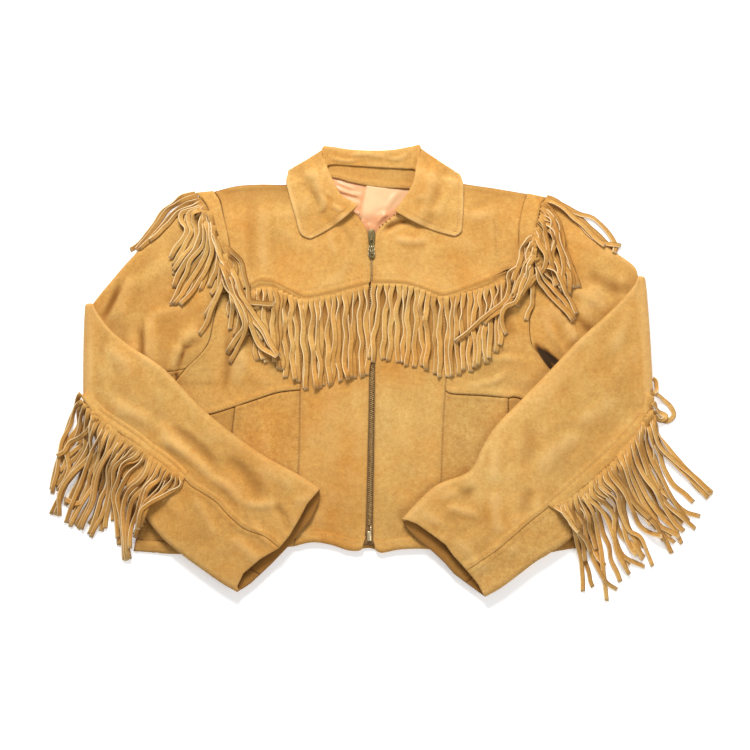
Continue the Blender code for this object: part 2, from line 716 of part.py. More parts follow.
def upper_sections(side, sleeve):
    """Sections from the armhole to the elbow fold: (front layer, back layer) points."""
    edge_a = spaced(sleeve["upper_a"], UPPER_SECTIONS)
    edge_b = spaced(sleeve["upper_b"], UPPER_SECTIONS)
    armhole = smooth_line(ARMHOLE[side])
    sections = []
    for s in range(UPPER_SECTIONS + 1):
        t = s / UPPER_SECTIONS
        room = ARM_ROOM + (FOLD_ROOM - ARM_ROOM) * smooth_step(t * 1.6 - 0.6)
        upper, lower = ring_shares(
            seam_places(sleeve["back_seam"], "armhole", "elbow", t),
            seam_places(FRONT_SEAM, "armhole", "elbow", t))
        chord_a, chord_b = armhole[0], armhole[-1]
        width = (edge_b[s] - edge_a[s]).length
        keep = (1 - smooth_step(t)) if t else 1.0

        def plan(share):
            bow = at_share(armhole, share) - chord_a.lerp(chord_b, share)
            point = edge_a[s].lerp(edge_b[s], share) + bow * keep
            if s == 0:
                point += Vector((sleeve["outward"] * 0.9, 0.3)) * ARMHOLE_GAP
            return point

        front, back = [], []
        for share in upper:
            p = plan(share)
            arch = (math.sin(math.pi * share) ** ARMHOLE_ROUND * keep
                    + tube_profile(share, width, room / 2) * (1 - keep))
            level = SUEDE / 2 + SIDE_ROOM + (room - SIDE_ROOM) * arch
            inside = min(1.0, 5 * share, 5 * (1 - share)) * smooth_step(t * 3)
            front.append(Vector((p.x, p.y, level + fold_height(p.x, p.y) * inside * (1 - t))))
        for share in lower:
            p = plan(share)
            edge = SIDE_ROOM / 2 * abs(2 * share - 1) ** 14
            back.append(Vector((p.x, p.y, SUEDE / 2 + edge)))
        front[0] = back[0] = (front[0] + back[0]) / 2
        front[-1] = back[-1] = (front[-1] + back[-1]) / 2
        sections.append((front, back))
    return sections


def fold_sections(sleeve):
    """The elbow fold: the flattened tube turned over along a line in plan."""
    a, b = Vector(sleeve["upper_a"][-1]), Vector(sleeve["upper_b"][-1])
    half = FOLD_ROOM / 2
    radius = half + SUEDE / 2 + DRAPE_GAP
    centre = SUEDE / 2 + half
    outward = sleeve["outward"]
    upper, lower = ring_shares(sleeve["back_seam"]["elbow"], FRONT_SEAM["elbow"])
    width = (b - a).length
    sections = []
    for step in range(1, FOLD_STEPS + 1):
        angle = math.pi * step / FOLD_STEPS
        out = radius * math.sin(angle)
        level = centre + radius - radius * math.cos(angle)

        def place(share, offset):
            p = a.lerp(b, share)
            x = p.x + outward * (out - offset * math.sin(angle))
            return Vector((x, p.y, level + offset * math.cos(angle)))

        front = [place(share, half * tube_profile(share, width, half)) for share in upper]
        back = [place(share, -half * tube_profile(share, width, half)) for share in lower]
        sections.append((front, back))
    return sections


def relaxed(rows, rounds=24):
    """Heights eased towards their neighbours', never below where they were: cloth bridging."""
    for _ in range(rounds):
        before = [[p.z for p in row] for row in rows]
        for j, row in enumerate(rows):
            for i, point in enumerate(row):
                near = [before[b][a] for b, a in ((j - 1, i), (j + 1, i), (j, i - 1), (j, i + 1))
                        if 0 <= b < len(rows) and 0 <= a < len(row)]
                point.z = max(point.z, 0.35 * point.z + 0.65 * sum(near) / len(near))
    return rows


def fore_sections(sleeve, upper_rows, fold_top):
    """The forearm, lying on the body and on the sleeve's own upper part."""
    edge_a = spaced(sleeve["fore_a"], FORE_SECTIONS)
    edge_b = spaced(sleeve["fore_b"], FORE_SECTIONS)
    bm = grid_mesh(upper_rows)
    tree = BVHTree.FromBMesh(bm)
    bm.free()
    below = [*supports, tree]
    plans = []
    for s in range(1, FORE_SECTIONS + 1):
        t = s / FORE_SECTIONS
        if t < 0.5:
            back_seam = seam_places(sleeve["back_seam"], "elbow", "fore", t * 2)
        else:
            back_seam = seam_places(sleeve["back_seam"], "fore", "cuff", t * 2 - 1)
        upper, lower = ring_shares(back_seam, seam_places(FRONT_SEAM, "elbow", "cuff", t))
        plans.append((t, edge_a[s], edge_b[s], upper, lower))
    under = []
    for t, a, b, upper, _ in plans:
        end = plans[-1][1] - plans[-2][1] if t == 1 else Vector((0, 0))
        shift = end.normalized() * CUFF_OVERHANG if t == 1 else end
        row = []
        for share in upper:
            p = a.lerp(b, share) + shift
            row.append(Vector((p.x, p.y, top_of(p.x, p.y, below) + DRAPE_GAP + SUEDE)))
        under.append(row)
    first = [Vector((p.x, p.y, p.z)) for p in fold_top]
    rows = relaxed([first, *under])
    for point, original in zip(rows[0], fold_top):
        point.z = original.z
    rows = lay_clear(rows, SUEDE / 2 + FORE_CLEARANCE, DRAPE_GAP, fixed_rows=1, trees=below)
    sections = []
    for (t, a, b, upper, lower), row in zip(plans, rows[1:]):
        room = FOLD_ROOM + (CUFF_ROOM - FOLD_ROOM) * smooth_step(t * 2)
        levels = [(share, p.z) for share, p in zip(upper, row)]
        width = (b - a).length
        front = []
        for share, p in zip(upper, row):
            edge = 0.5 * room * (1 - tube_profile(share, width, room / 2))
            front.append(Vector((p.x, p.y, p.z + edge)))
        back = []
        for share in lower:
            p = a.lerp(b, share)
            level = value_at(levels, share)
            edge = 0.5 * room * (1 + tube_profile(share, width, room / 2))
            back.append(Vector((p.x, p.y, level + edge)))
        sections.append((front, back))
    return sections


def sleeve_pieces(side):
    """Top sleeve and under sleeve: the two pieces that meet at the back and front seams."""
    sleeve = SLEEVES[side]
    upper = upper_sections(side, sleeve)
    fold = fold_sections(sleeve)
    upper_top = [[p + Vector((0, 0, SUEDE / 2)) for p in front] for front, _ in upper]
    fore = fore_sections(sleeve, upper_top, fold[-1][0])
    top_rows, under_rows = [], []
    for front, back in [*upper, *fold, *fore]:
        top_rows.append(front[FRONT_COLUMN::-1] + back[1:BACK_COLUMN + 1])
        under_rows.append(back[BACK_COLUMN:] + front[-2:FRONT_COLUMN - 1:-1])
    for rows, name in ((top_rows, "sleeve_top"), (under_rows, "sleeve_under")):
        for column, beside in ((0, 1), (-1, -2)):
            line = [row[column].copy() for row in rows]
            for n, row in enumerate(rows):
                along = (line[min(n + 1, len(line) - 1)] - line[max(n - 1, 0)]).normalized()
                inward = row[beside] - line[n]
                inward -= along * inward.dot(along)
                row[column] = line[n] + inward.normalized() * SLEEVE_SEAM_GAP / 2
        thickened(rows, f"{name}_{side}", SUEDE, "suede")


# --- collar -----------------------------------------------------------------------------------


def collar_piece():
    """One folded strip: the stand rises from the neck seam, rolls, and falls outside it.

    In front the fall lies over the stand. Behind the neck it lies under it, on the ground.
    """
    half = COLLAR_WALL / 2
    rows = []
    for section in COLLAR:
        seam, roll, edge = (Vector(section[name]) for name in ("seam", "roll", "edge"))
        behind = section["behind"]
        stand_z = pile_top(seam.x, seam.y, COLLAR_SEAM_REACH) + half + DRAPE_GAP
        over, under = stand_z + ROLL_HEIGHT, half
        start_z = over * (1 - behind) + under * behind
        beyond = (roll - seam).normalized() * COLLAR_WALL
        row = [Vector((*seam.lerp(roll, i / STAND_POINTS), stand_z))
               for i in range(STAND_POINTS + 1)]
        row.append(Vector((*(roll + beyond), (stand_z + start_z) / 2)))
        row.append(Vector((*roll, start_z)))
        for i in range(1, FALL_POINTS + 1):
            t = i / FALL_POINTS
            p = roll.lerp(edge, t)
            ground = 0.0 if behind > 0.5 else top_of(p.x, p.y) + DRAPE_GAP
            crest = start_z * (1 - smooth_step((t - 0.25) / 0.6)) * (1 - behind)
            row.append(Vector((p.x, p.y, max(ground + half, crest))))
        rows.append(row)
    fall_start = STAND_POINTS + 3
    for leaf in (rows[:COLLAR_FRONT_SECTIONS], rows[-COLLAR_FRONT_SECTIONS:]):
        lay_clear([row[fall_start:] for row in leaf], half, LAYER_GAP)
    thickened(rows, "collar", COLLAR_WALL, "suede")


# --- zip --------------------------------------------------------------------------------------


def zip_line(steps=20):
    """The line midway between the two front edges."""
    left, right = smooth_line(ZIP_EDGE["left"]), smooth_line(ZIP_EDGE["right"])
    return [at_share(left, i / steps).lerp(at_share(right, i / steps), 0.5)
            for i in range(steps + 1)]


def zip_strip(name, kind, width, wall, level, shares):
    """A strip along the zip line at a level measured from the fronts' inner face."""
    line = zip_line()
    start, end = shares
    rows = []
    for i in range(STRIP_STEPS + 1):
        p = at_share(line, start + (end - start) * i / STRIP_STEPS)
        z = front_height(p.x, p.y) + level
        rows.append([Vector((p.x - width / 2, p.y, z)), Vector((p.x + width / 2, p.y, z))])
    raised(rows, name, wall, kind)


def placed_block(name, size, centre, kind, rounding_radius):
    """A small rounded metal block."""
    bpy.ops.mesh.primitive_cube_add(size=1, location=Vector(centre) * MM)
    obj = bpy.context.active_object
    obj.name = obj.data.name = name
    for vert in obj.data.vertices:
        vert.co = Vector((c * s * MM for c, s in zip(vert.co, size)))
    for collection in obj.users_collection:
        collection.objects.unlink(obj)
    jacket.objects.link(obj)
    obj.data.materials.append(material_of(name, kind))
    rounding = obj.modifiers.new("Rounded", "BEVEL")
    rounding.width = rounding_radius * MM
    rounding.segments = 2
    return obj


def bridge_and_slider(centre, base):
    """The slider's body with the arched bridge that holds the pull tab, as one solid."""
    height = SLIDER_SIZE[2]
    slider = placed_block("zip_slider", SLIDER_SIZE, (centre.x, centre.y, base + height / 2),
                          "zip_metal", SLIDER_ROUND)
    curve = bpy.data.curves.new("bridge", "CURVE")
    curve.dimensions = "3D"
    curve.bevel_depth = BRIDGE_RADIUS * MM
    curve.bevel_resolution = 1
    curve.use_fill_caps = True
    spline = curve.splines.new("POLY")
    steps = 8
    spline.points.add(steps)
    for i in range(steps + 1):
        angle = math.pi * i / steps
        point = Vector((centre.x, centre.y + BRIDGE_SPAN / 2 * math.cos(angle),
                        base + height - BRIDGE_SINK
                        + (BRIDGE_RISE + BRIDGE_SINK) * math.sin(angle)))
        spline.points[i].co = (*(point * MM), 1)
    guide = bpy.data.objects.new("bridge", curve)
    jacket.objects.link(guide)
    bpy.context.view_layer.update()
    graph = bpy.context.evaluated_depsgraph_get()
    mesh = bpy.data.meshes.new_from_object(guide.evaluated_get(graph))
    bpy.data.objects.remove(guide, do_unlink=True)
    bm = bmesh.new()
    bm.from_mesh(mesh)
    bmesh.ops.remove_doubles(bm, verts=bm.verts, dist=1e-6)
    bmesh.ops.recalc_face_normals(bm, faces=bm.faces[:])
    bm.to_mesh(mesh)
    bm.free()
    cutter = bpy.data.objects.new("bridge_shape", mesh)
    cutter.hide_render = True
    cutter.display_type = "WIRE"
    helpers.objects.link(cutter)
    union = slider.modifiers.new("Bridge", "BOOLEAN")
    union.operation = "UNION"
    union.object = cutter
    return slider


def pull_tab(centre, axis_z, drop):
    """A flat tab with an eye round the bridge; its origin is on the hinge axis."""
    curve = bpy.data.curves.new("zip_pull", "CURVE")
    curve.dimensions = "2D"
    curve.fill_mode = "BOTH"
    curve.extrude = PULL_WALL / 2 * MM
    half = PULL_WIDTH / 2
    outline = [(-half, 0.6), (-half + 0.8, 1.4), (half - 0.8, 1.4), (half, 0.6),
               (half, -EYE_LENGTH - 1.5), (half - 1.1, -EYE_LENGTH - 4),
               (half - 0.4, -PULL_LENGTH + 2), (half - 1.4, -PULL_LENGTH),
               (-half + 1.4, -PULL_LENGTH), (-half + 0.4, -PULL_LENGTH + 2),
               (-half + 1.1, -EYE_LENGTH - 4), (-half, -EYE_LENGTH - 1.5)]
    eye_half = half - 1.3
    eye = [(-eye_half, -BAR_HALF), (-eye_half, -EYE_LENGTH), (eye_half, -EYE_LENGTH),
           (eye_half, -BAR_HALF)]
    for points in (outline, eye):
        spline = curve.splines.new("POLY")
        spline.points.add(len(points) - 1)
        spline.use_cyclic_u = True
        for target, point in zip(spline.points, points):
            target.co = (point[0] * MM, point[1] * MM, 0, 1)
    obj = bpy.data.objects.new("zip_pull", curve)
    curve.materials.append(material_of("zip_pull", "zip_metal"))
    jacket.objects.link(obj)
    obj.location = Vector((centre.x, centre.y, axis_z)) * MM
    obj.rotation_euler = (math.asin(drop / PULL_LENGTH), 0, 0)
    return obj


def zip_pieces():
    """Tape under both fronts, chain between them, slider, pull tab and bottom pin box."""
    zip_strip("zip_tape", "zip_tape", TAPE_WIDTH, TAPE_WALL, -TAPE_WALL - LAYER_GAP, TAPE_SHARES)
    zip_strip("zip_chain", "zip_metal", CHAIN_WIDTH, CHAIN_HEIGHT, 0.0, CHAIN_SHARES)
    line = zip_line()
    centre = at_share(line, SLIDER_SHARE)
    top = front_height(centre.x, centre.y)
    base = top + CHAIN_HEIGHT + LAYER_GAP
    bridge_and_slider(centre, base)
    pivot = base + SLIDER_SIZE[2] + AXIS_LIFT
    pull_tab(centre, pivot, PULL_DROP)
    foot = at_share(line, PIN_BOX_SHARE)
    level = front_height(foot.x, foot.y) + PIN_BOX_LIFT
    placed_block("zip_pin_box", PIN_BOX_SIZE, (foot.x, foot.y, level + PIN_BOX_SIZE[2] / 2),
                 "bright_brass", PIN_BOX_ROUND)


# --- fringe -----------------------------------------------------------------------------------


def fringe(name, table, seed):
    """A comb: a narrow strip along a seam, and flat strands that leave its lower edge."""
    count = table["count"]
    root = smooth_line(table["root"])
    random = Random(seed)
    rows = [[None] * (2 * count) for _ in range(STRAND_ROWS + 2)]
    for n in range(count):
        middle = (n + 0.5) / count
        way = math.radians(read_row(table["rows"], middle, "way") + random.uniform(-0.8, 0.8))
        length = read_row(table["rows"], middle, "length") * random.uniform(0.95, 1.04)
        depth = read_row(table["rows"], middle, "depth")
        down = Vector((math.sin(way), -math.cos(way)))
        across = Vector((math.cos(way), math.sin(way)))
        first, last = at_share(root, n / count), at_share(root, (n + 1) / count)
        run = last - first
        room = abs(run.dot(across))
        half = min(STRAND_WIDTH, room - STRAND_GAP) / 2
        across *= math.copysign(1.0, run.dot(across))
        sway = random.uniform(-0.5, 0.5)
        for edge, sign in ((0, -1), (1, 1)):
            start = first.lerp(last, 0.5 + sign * half / room)
            foot = first.lerp(last, 0.5) + down * (depth + length) + across * sign * half * 0.9
            for row in range(STRAND_ROWS + 2):
                t = max(row - 1, 0) / STRAND_ROWS
                point = start + down * depth if row else start
                point = point.lerp(foot, t) + across * sway * math.sin(math.pi * t)
                z = pile_top(point.x, point.y, SEAM_GAP * 2) + DRAPE_GAP
                rows[row][2 * n + edge] = Vector((point.x, point.y, z))
    for n in range(count):
        strand = [row[2 * n:2 * n + 2] for row in rows]
        lay_clear(strand, 0.0, DRAPE_GAP, steps=24)
        for pair in strand[1:]:
            pair[0].z = pair[1].z = max(pair[0].z, pair[1].z)
    lay_clear(rows[:2], 0.0, DRAPE_GAP)
    raised(rows, name, STRAND_WALL, "suede",
           keep=lambda column, row: row == 0 or column % 2 == 0)


# --- the jacket -------------------------------------------------------------------------------


def main():
    clear_scene()
    back_piece()
    neck_pieces()
    for side in ("left", "right"):
        front_pieces(side)
    zip_pieces()
    for seed, side in enumerate(("left", "right")):
        fringe(f"fringe_yoke_{side}", YOKE_FRINGE[side], seed)
    for side in ("left", "right"):
        sleeve_pieces(side)
    for seed, side in enumerate(("left", "right"), start=2):
        fringe(f"fringe_armhole_{side}", ARMHOLE_FRINGE[side], seed)
    for seed, side in enumerate(("left", "right"), start=4):
        fringe(f"fringe_sleeve_{side}", SLEEVE_FRINGE[side], seed)
    collar_piece()


jacket = bpy.data.collections.new("fringed_suede_jacket")
helpers = bpy.data.collections.new("helper_shapes")
bpy.context.scene.collection.children.link(jacket)
bpy.context.scene.collection.children.link(helpers)
main()
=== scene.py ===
# %% [markdown]
# # A fringed suede jacket, laid flat
# The jacket is flat cloth with air inside, so nearly every piece here is one thin sheet. A sheet
# is a plain grid whose points are moved to where the suede lies, and a Solidify modifier gives it
# its wall. This keeps every outline, crease and seam in a few named sizes that can be changed.

# %% Load the packed model
import json
import math
from random import Random

import bmesh
import bpy
import numpy as np
from mathutils import Matrix, Vector

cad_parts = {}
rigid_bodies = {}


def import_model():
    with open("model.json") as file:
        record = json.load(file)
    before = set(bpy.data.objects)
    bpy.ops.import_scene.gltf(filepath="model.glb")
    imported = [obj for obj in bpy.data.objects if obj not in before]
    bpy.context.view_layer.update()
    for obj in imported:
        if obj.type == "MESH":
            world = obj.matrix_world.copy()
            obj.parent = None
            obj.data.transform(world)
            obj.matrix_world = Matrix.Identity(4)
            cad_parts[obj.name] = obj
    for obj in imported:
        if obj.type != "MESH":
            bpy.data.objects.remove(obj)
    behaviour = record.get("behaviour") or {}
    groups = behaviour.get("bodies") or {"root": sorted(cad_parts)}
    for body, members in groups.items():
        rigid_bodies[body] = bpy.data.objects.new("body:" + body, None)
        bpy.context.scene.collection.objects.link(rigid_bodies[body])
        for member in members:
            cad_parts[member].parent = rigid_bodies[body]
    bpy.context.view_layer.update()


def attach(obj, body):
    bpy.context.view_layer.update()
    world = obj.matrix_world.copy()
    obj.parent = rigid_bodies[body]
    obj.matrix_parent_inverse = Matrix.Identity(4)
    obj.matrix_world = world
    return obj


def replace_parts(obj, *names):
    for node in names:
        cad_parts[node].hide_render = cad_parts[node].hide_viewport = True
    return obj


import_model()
MM = 0.001
BODY = "jacket"
SIDES = ("left", "right")

# %% [markdown]
# ## Sizes
# All tables are millimetres. A suede this light is 1.6 mm thick, its lining 0.7 mm, and the cut
# strands 1.5 mm. "left" is the -X half as seen from above. The seam outlines are the pattern of
# the jacket as it lies, from the zip out to the side seams.

# %% Walls, rooms and seam outlines
SUEDE = 1.6
SATIN = 0.7
STRAP = 1.5
SEAM_GAP, DRAPE_GAP, FLOOR_GAP = 0.02, 0.5, 0.03
HEM_ROOM, CHEST_ROOM, SIDE_ROOM = 8.0, 12.0, 1.95
ARM_ROOM, FOLD_ROOM, CUFF_ROOM = 12.0, 8.0, 13.0
SHOULDER = {
    "left": [(-64, 258), (-85, 246), (-106, 240), (-140, 240), (-170, 238), (-198, 231)],
    "right": [(60, 258), (85, 247), (114, 241), (148, 236), (172, 232), (195, 228)],
}
ARMHOLE = {
    "left": [(-198, 231), (-190, 218), (-184, 188), (-179, 163), (-183, 133), (-191, 101),
             (-198, 70), (-204, 43), (-216, 26), (-233, 10), (-250, -11)],
    "right": [(195, 228), (188, 204), (184, 168), (191, 133), (202, 104), (201, 85), (197, 68),
              (199, 41), (209, 26), (223, 8), (250, -11)],
}
SIDE = {
    "left": [(-250, -11), (-262, -60), (-280, -135), (-299, -219)],
    "right": [(250, -11), (252, -60), (255, -135), (257, -215)],
}
NECK = {
    "left": [(-64, 258), (-63, 240), (-56, 224), (-42, 213), (-24, 206), (-14, 194), (-6, 181),
             (-2.6, 165), (-1.7, 140)],
    "right": [(60, 258), (60, 240), (52, 222), (38, 208), (26, 199), (13, 189), (5, 179),
              (1.2, 165), (0.6, 140)],
}
ZIP_EDGE = {
    "left": [(-1.9, 116), (-2.9, 60), (-3.4, 8), (-5.6, -92), (-8.4, -192), (-12, -214)],
    "right": [(0.9, 116), (3.5, 60), (4, 8), (3, -92), (1.5, -192), (4, -216)],
}
YOKE_EDGE = {
    "left": [(-1.9, 116), (-28, 109), (-56, 102), (-84, 98), (-104, 107), (-122, 116), (-139, 118),
             (-155, 111), (-191, 101)],
    "right": [(0.9, 116), (39, 115), (65, 108), (89, 100), (117, 108), (144, 118), (177, 133),
              (202, 104)],
}
PRINCESS = {
    "left": [(-84, 98), (-85, 45), (-90, -17), (-91, -80), (-93, -140), (-98, -212)],
    "right": [(89, 100), (94, 45), (92, -18), (89, -60), (87, -120), (86, -217)],
}
POCKET_SEAM = {
    "left": [(-90, -17), (-116, -20), (-139, -27), (-171, -38), (-204, -48), (-262, -60)],
    "right": [(92, -18), (101, -22), (138, -24), (170, -27), (188, -29), (252, -60)],
}
POCKET_SLIT = {
    "left": [(-171, -38), (-175, -72), (-182, -150), (-188, -221)],
    "right": [(170, -27), (171, -60), (172, -130), (175, -221)],
}
HEM = {
    "left": [(-12, -214), (-16, -217.5), (-30, -217), (-52, -210), (-75, -207), (-98, -212),
             (-144, -217), (-188, -221), (-244, -222), (-299, -219)],
    "right": [(4, -216), (8, -219), (14, -220), (35, -216), (60, -215), (86, -217), (130, -220),
              (175, -221), (222, -220), (257, -215)],
}
print("zip edge:", ZIP_EDGE["left"][0][1] - ZIP_EDGE["left"][-1][1], "mm")

# %% [markdown]
# ## Lines and grids
# A seam is a smooth curve through a few points. A panel is the patch that four seams enclose (a
# Coons patch): each inner point is blended from the points straight across from it on the four
# edges, so the panel's outline is exactly its seams.

# %% Curves and patches


def smooth_step(value):
    """0 up to 0, 1 from 1 on, and a smooth S between."""
    value = np.clip(value, 0.0, 1.0)
    return value * value * (3 - 2 * value)


def fade(distance, reach):
    """1 at no distance, falling smoothly to 0 at this reach."""
    return 1 - smooth_step(distance / reach)


def evenly(count):
    """Shares from 0 to 1."""
    return np.linspace(0, 1, count)


def catmull(values, count):
    """Rows of values read at even steps of a Catmull-Rom curve through them."""
    values = np.asarray(values, float)
    padded = np.concatenate([2 * values[:1] - values[1:2], values, 2 * values[-1:] - values[-2:-1]])
    at = np.linspace(0, len(values) - 1, count)
    first = np.minimum(at.astype(int), len(values) - 2)
    t = (at - first).reshape(-1, *[1] * (values.ndim - 1))
    p0, p1, p2, p3 = (padded[first + k] for k in range(4))
    return 0.5 * (2 * p1 + (p2 - p0) * t + (2 * p0 - 5 * p1 + 4 * p2 - p3) * t ** 2
                  + (3 * p1 - p0 - 3 * p2 + p3) * t ** 3)


def curve_through(points):
    return catmull(points, 12 * (len(points) - 1) + 1)


def lengths_of(line):
    steps = np.linalg.norm(np.diff(line, axis=0), axis=1)
    return np.concatenate([[0.0], np.cumsum(steps)])


def along(line, shares):
    """Points of a polyline at these shares of its length."""
    reach = lengths_of(line)
    at = np.clip(shares, 0, 1) * reach[-1]
    return np.stack([np.interp(at, reach, line[:, k]) for k in range(line.shape[1])], axis=-1)


def finer(grid, rows, columns):
    """A grid of points read more finely, smoothly both ways."""
    return catmull(catmull(grid, rows).swapaxes(0, 1), columns).swapaxes(0, 1)


def patch(bottom, top, left, right, step):
    """The grid between four edges that share their corners, with squares of about this step."""
    columns = int(max(lengths_of(bottom)[-1], lengths_of(top)[-1]) / step) + 2
    rows = int(max(lengths_of(left)[-1], lengths_of(right)[-1]) / step) + 2
    u, v = np.linspace(0, 1, columns), np.linspace(0, 1, rows)
    south, north = along(bottom, u)[None], along(top, u)[None]
    west, east = along(left, v)[:, None], along(right, v)[:, None]
    u, v = u[None, :, None], v[:, None, None]
    ruled = south * (1 - v) + north * v + west * (1 - u) + east * u
    corners = (south[:, :1] * (1 - u) + south[:, -1:] * u) * (1 - v) + (
        north[:, :1] * (1 - u) + north[:, -1:] * u) * v
    return ruled - corners


def edge_distances(grid):
    """How far each point lies from the south, north, west and east edges, in millimetres."""
    down = np.linalg.norm(np.diff(grid, axis=0), axis=2)
    side = np.linalg.norm(np.diff(grid, axis=1), axis=2)
    from_south = np.concatenate([np.zeros((1, grid.shape[1])), np.cumsum(down, axis=0)])
    from_west = np.concatenate([np.zeros((grid.shape[0], 1)), np.cumsum(side, axis=1)], axis=1)
    return (from_south, from_south[-1:] - from_south, from_west, from_west[:, -1:] - from_west)


print("a seam of", len(curve_through(YOKE_EDGE["left"])), "points")

# %% [markdown]
# ## What lies below
# Cloth laid on cloth needs to know how high the pile is under it. A height map of one-millimetre
# squares is filled as pieces are made, and later pieces read it. Rays could find the same heights,
# but a map is quicker for the thousands of places that the fringe asks about.

# %% The height map
CELL = 1.0
MAP_CORNER = np.array([-450.0, -330.0])
pile = np.zeros((700, 950))


def denser(grid, factor):
    """The grid with straight-line points between its own."""
    for _ in range(2):
        at = np.linspace(0, len(grid) - 1, (len(grid) - 1) * factor + 1)
        low = np.minimum(at.astype(int), len(grid) - 2)
        t = (at - low)[:, None, None]
        grid = (grid[low] * (1 - t) + grid[low + 1] * t).swapaxes(0, 1)
    return grid


def cells_of(points):
    """The rows and columns of the height map at these points."""
    cells = np.rint((np.asarray(points)[..., :2] - MAP_CORNER) / CELL).astype(int)
    return cells[..., 1], cells[..., 0]


def stamp(grid, rise=0.0, factor=4):
    """Raises the height map to a surface's points."""
    points = denser(grid, factor).reshape(-1, 3)
    np.maximum.at(pile, cells_of(points), points[:, 2] + rise)


def pile_at(points, reach=1):
    """The pile's height at plan points, the highest within reach cells."""
    rows, columns = cells_of(points)
    offsets = [(0, 0), (reach, 0), (-reach, 0), (0, reach), (0, -reach)]
    return np.max([pile[rows + up, columns + across] for across, up in offsets], axis=0)


print("height map:", pile.shape[1], "by", pile.shape[0], "mm")


# %% [markdown]
# ## Creases
# Suede doesn't fold sharply: it makes soft ridges and troughs. Each is given as a line with a
# bow, a half width and a height, below zero for a trough. Over all of it goes a faint
# unevenness, a sum of long waves in random directions, because no hide lies quite flat.

# %% Ridges, troughs and unevenness


def crease_relief(x, y, table):
    """Height that a table of ridges and troughs gives at each place."""
    total = np.zeros(np.shape(x))
    for x0, y0, x1, y1, bow, half, height, *lean in table:
        run = np.array([x1 - x0, y1 - y0], float)
        reach = np.hypot(*run)
        along_run = ((x - x0) * run[0] + (y - y0) * run[1]) / reach ** 2
        off = ((y - y0) * run[0] - (x - x0) * run[1]) / reach
        inside = np.clip(along_run, 0, 1)
        off = off - bow * 4 * inside * (1 - inside)
        if lean:
            half = np.where(off * lean[0] > 0, half * 0.35, half * 1.5)
        ends = smooth_step((0.5 - np.abs(along_run - 0.5)) / 0.35 + 0.25)
        total += height * smooth_step(1 - np.abs(off) / half) * ends
    return total


WAVES = 9


def unevenness(x, y, wavelength, seed):
    """A sum of long waves in random directions."""
    rng = np.random.default_rng(seed)
    total = np.zeros(np.shape(x))
    for _ in range(WAVES):
        angle, phase = rng.uniform(0, math.tau), rng.uniform(0, math.tau)
        turn = math.tau / (wavelength * rng.uniform(0.7, 1.4))
        total += np.sin(turn * (x * math.cos(angle) + y * math.sin(angle)) + phase)
    return total / math.sqrt(WAVES)


# Each row: x and y of both ends, bow, half width, height and, for a fold that is steep on one side,
# which: 1 for the left of its way.
BODY_CREASES = [
    (-181, 92, -186, -24, 3, 10, -3.5), (-195, 92, -200, 28, 3, 13, 3.6, 1),
    (-164, 80, -168, -10, 0, 16, 3.0), (-153, 225, -150, 120, 0, 12, -1.8),
    (-138, 225, -135, 125, 0, 14, 1.8), (192, 226, 118, 209, -3, 9, -2.2),
    (192, 212, 122, 196, -3, 12, 1.8), (192, 96, 176, 34, 0, 12, 2.8),
    (140, 22, 200, 18, 3, 9, 2.4), (-158, 200, -155, 118, 4, 7, -1.6),
    (-140, 232, -96, 218, 5, 12, 1.2), (-40, 188, -24, 158, 3, 7, -1.5),
    (-52, 182, -44, 150, -3, 8, 1.3), (-130, 205, -60, 160, -10, 20, 1.0),
    (-30, 150, -60, 112, 4, 14, 0.9), (14, 181, 48, 195, 2, 7, -4.5),
    (26, 176, 70, 172, -6, 8, 1.6), (30, 170, 80, 160, 8, 14, 1.2),
    (60, 150, 140, 160, 10, 20, 1.0), (150, 196, 150, 128, 0, 10, 0.8),
    (100, 0, 150, 22, 6, 7, 1.4), (110, -12, 175, 8, -7, 8, 1.6), (120, 12, 190, 40, 8, 10, 1.8),
    (186, 60, 150, 20, 5, 9, -1.6), (-150, 60, -110, 20, 6, 16, 1.5),
    (-172, 40, -120, -14, -8, 12, 1.4), (-60, -30, -50, -120, 6, 22, 0.9),
    (-40, -140, -70, -190, -5, 16, 0.9), (40, -40, 55, -120, -6, 20, 0.9),
    (30, -150, 70, -195, 6, 18, 1.0), (120, -60, 130, -150, 5, 18, 1.2),
    (-130, -60, -120, -140, -5, 18, 1.2), (-200, -70, -230, -190, 8, 22, 1.6),
    (-298, -212, -280, -195, 3, 7, 2.2), (-280, -195, -240, -214, 4, 8, 2.5),
    (-294, -190, -256, -186, 3, 9, -2.5), (-290, -212, -262, -210, 3, 6, -2.0),
    (210, -60, 215, -190, -6, 20, 1.6), (-110, -190, -60, -205, 0, 8, 1.0),
    (50, -200, 100, -206, 0, 8, 1.0), (-24, 60, -20, -60, 0, 9, 0.7), (20, 40, 17, -80, 0, 9, 0.7),
]
# Painted shade in creases and under the right collar leaf, and a darker line along the seam of two
# hides on the right yoke: the same rows, with the tone for the height.
BODY_SHADES = [
    (153.5, 200, 155.5, 137, 0, 1.6, 0.35), (-158, 216, -156, 130, 3, 8, 0.10),
    (-182, 60, -186, -20, 3, 6, 0.14), (120, 4, 196, 12, 2, 9, 0.10), (16, 183, 46, 196, 2, 5, 0.4),
]
print("hand-placed creases on the body:", len(BODY_CREASES))
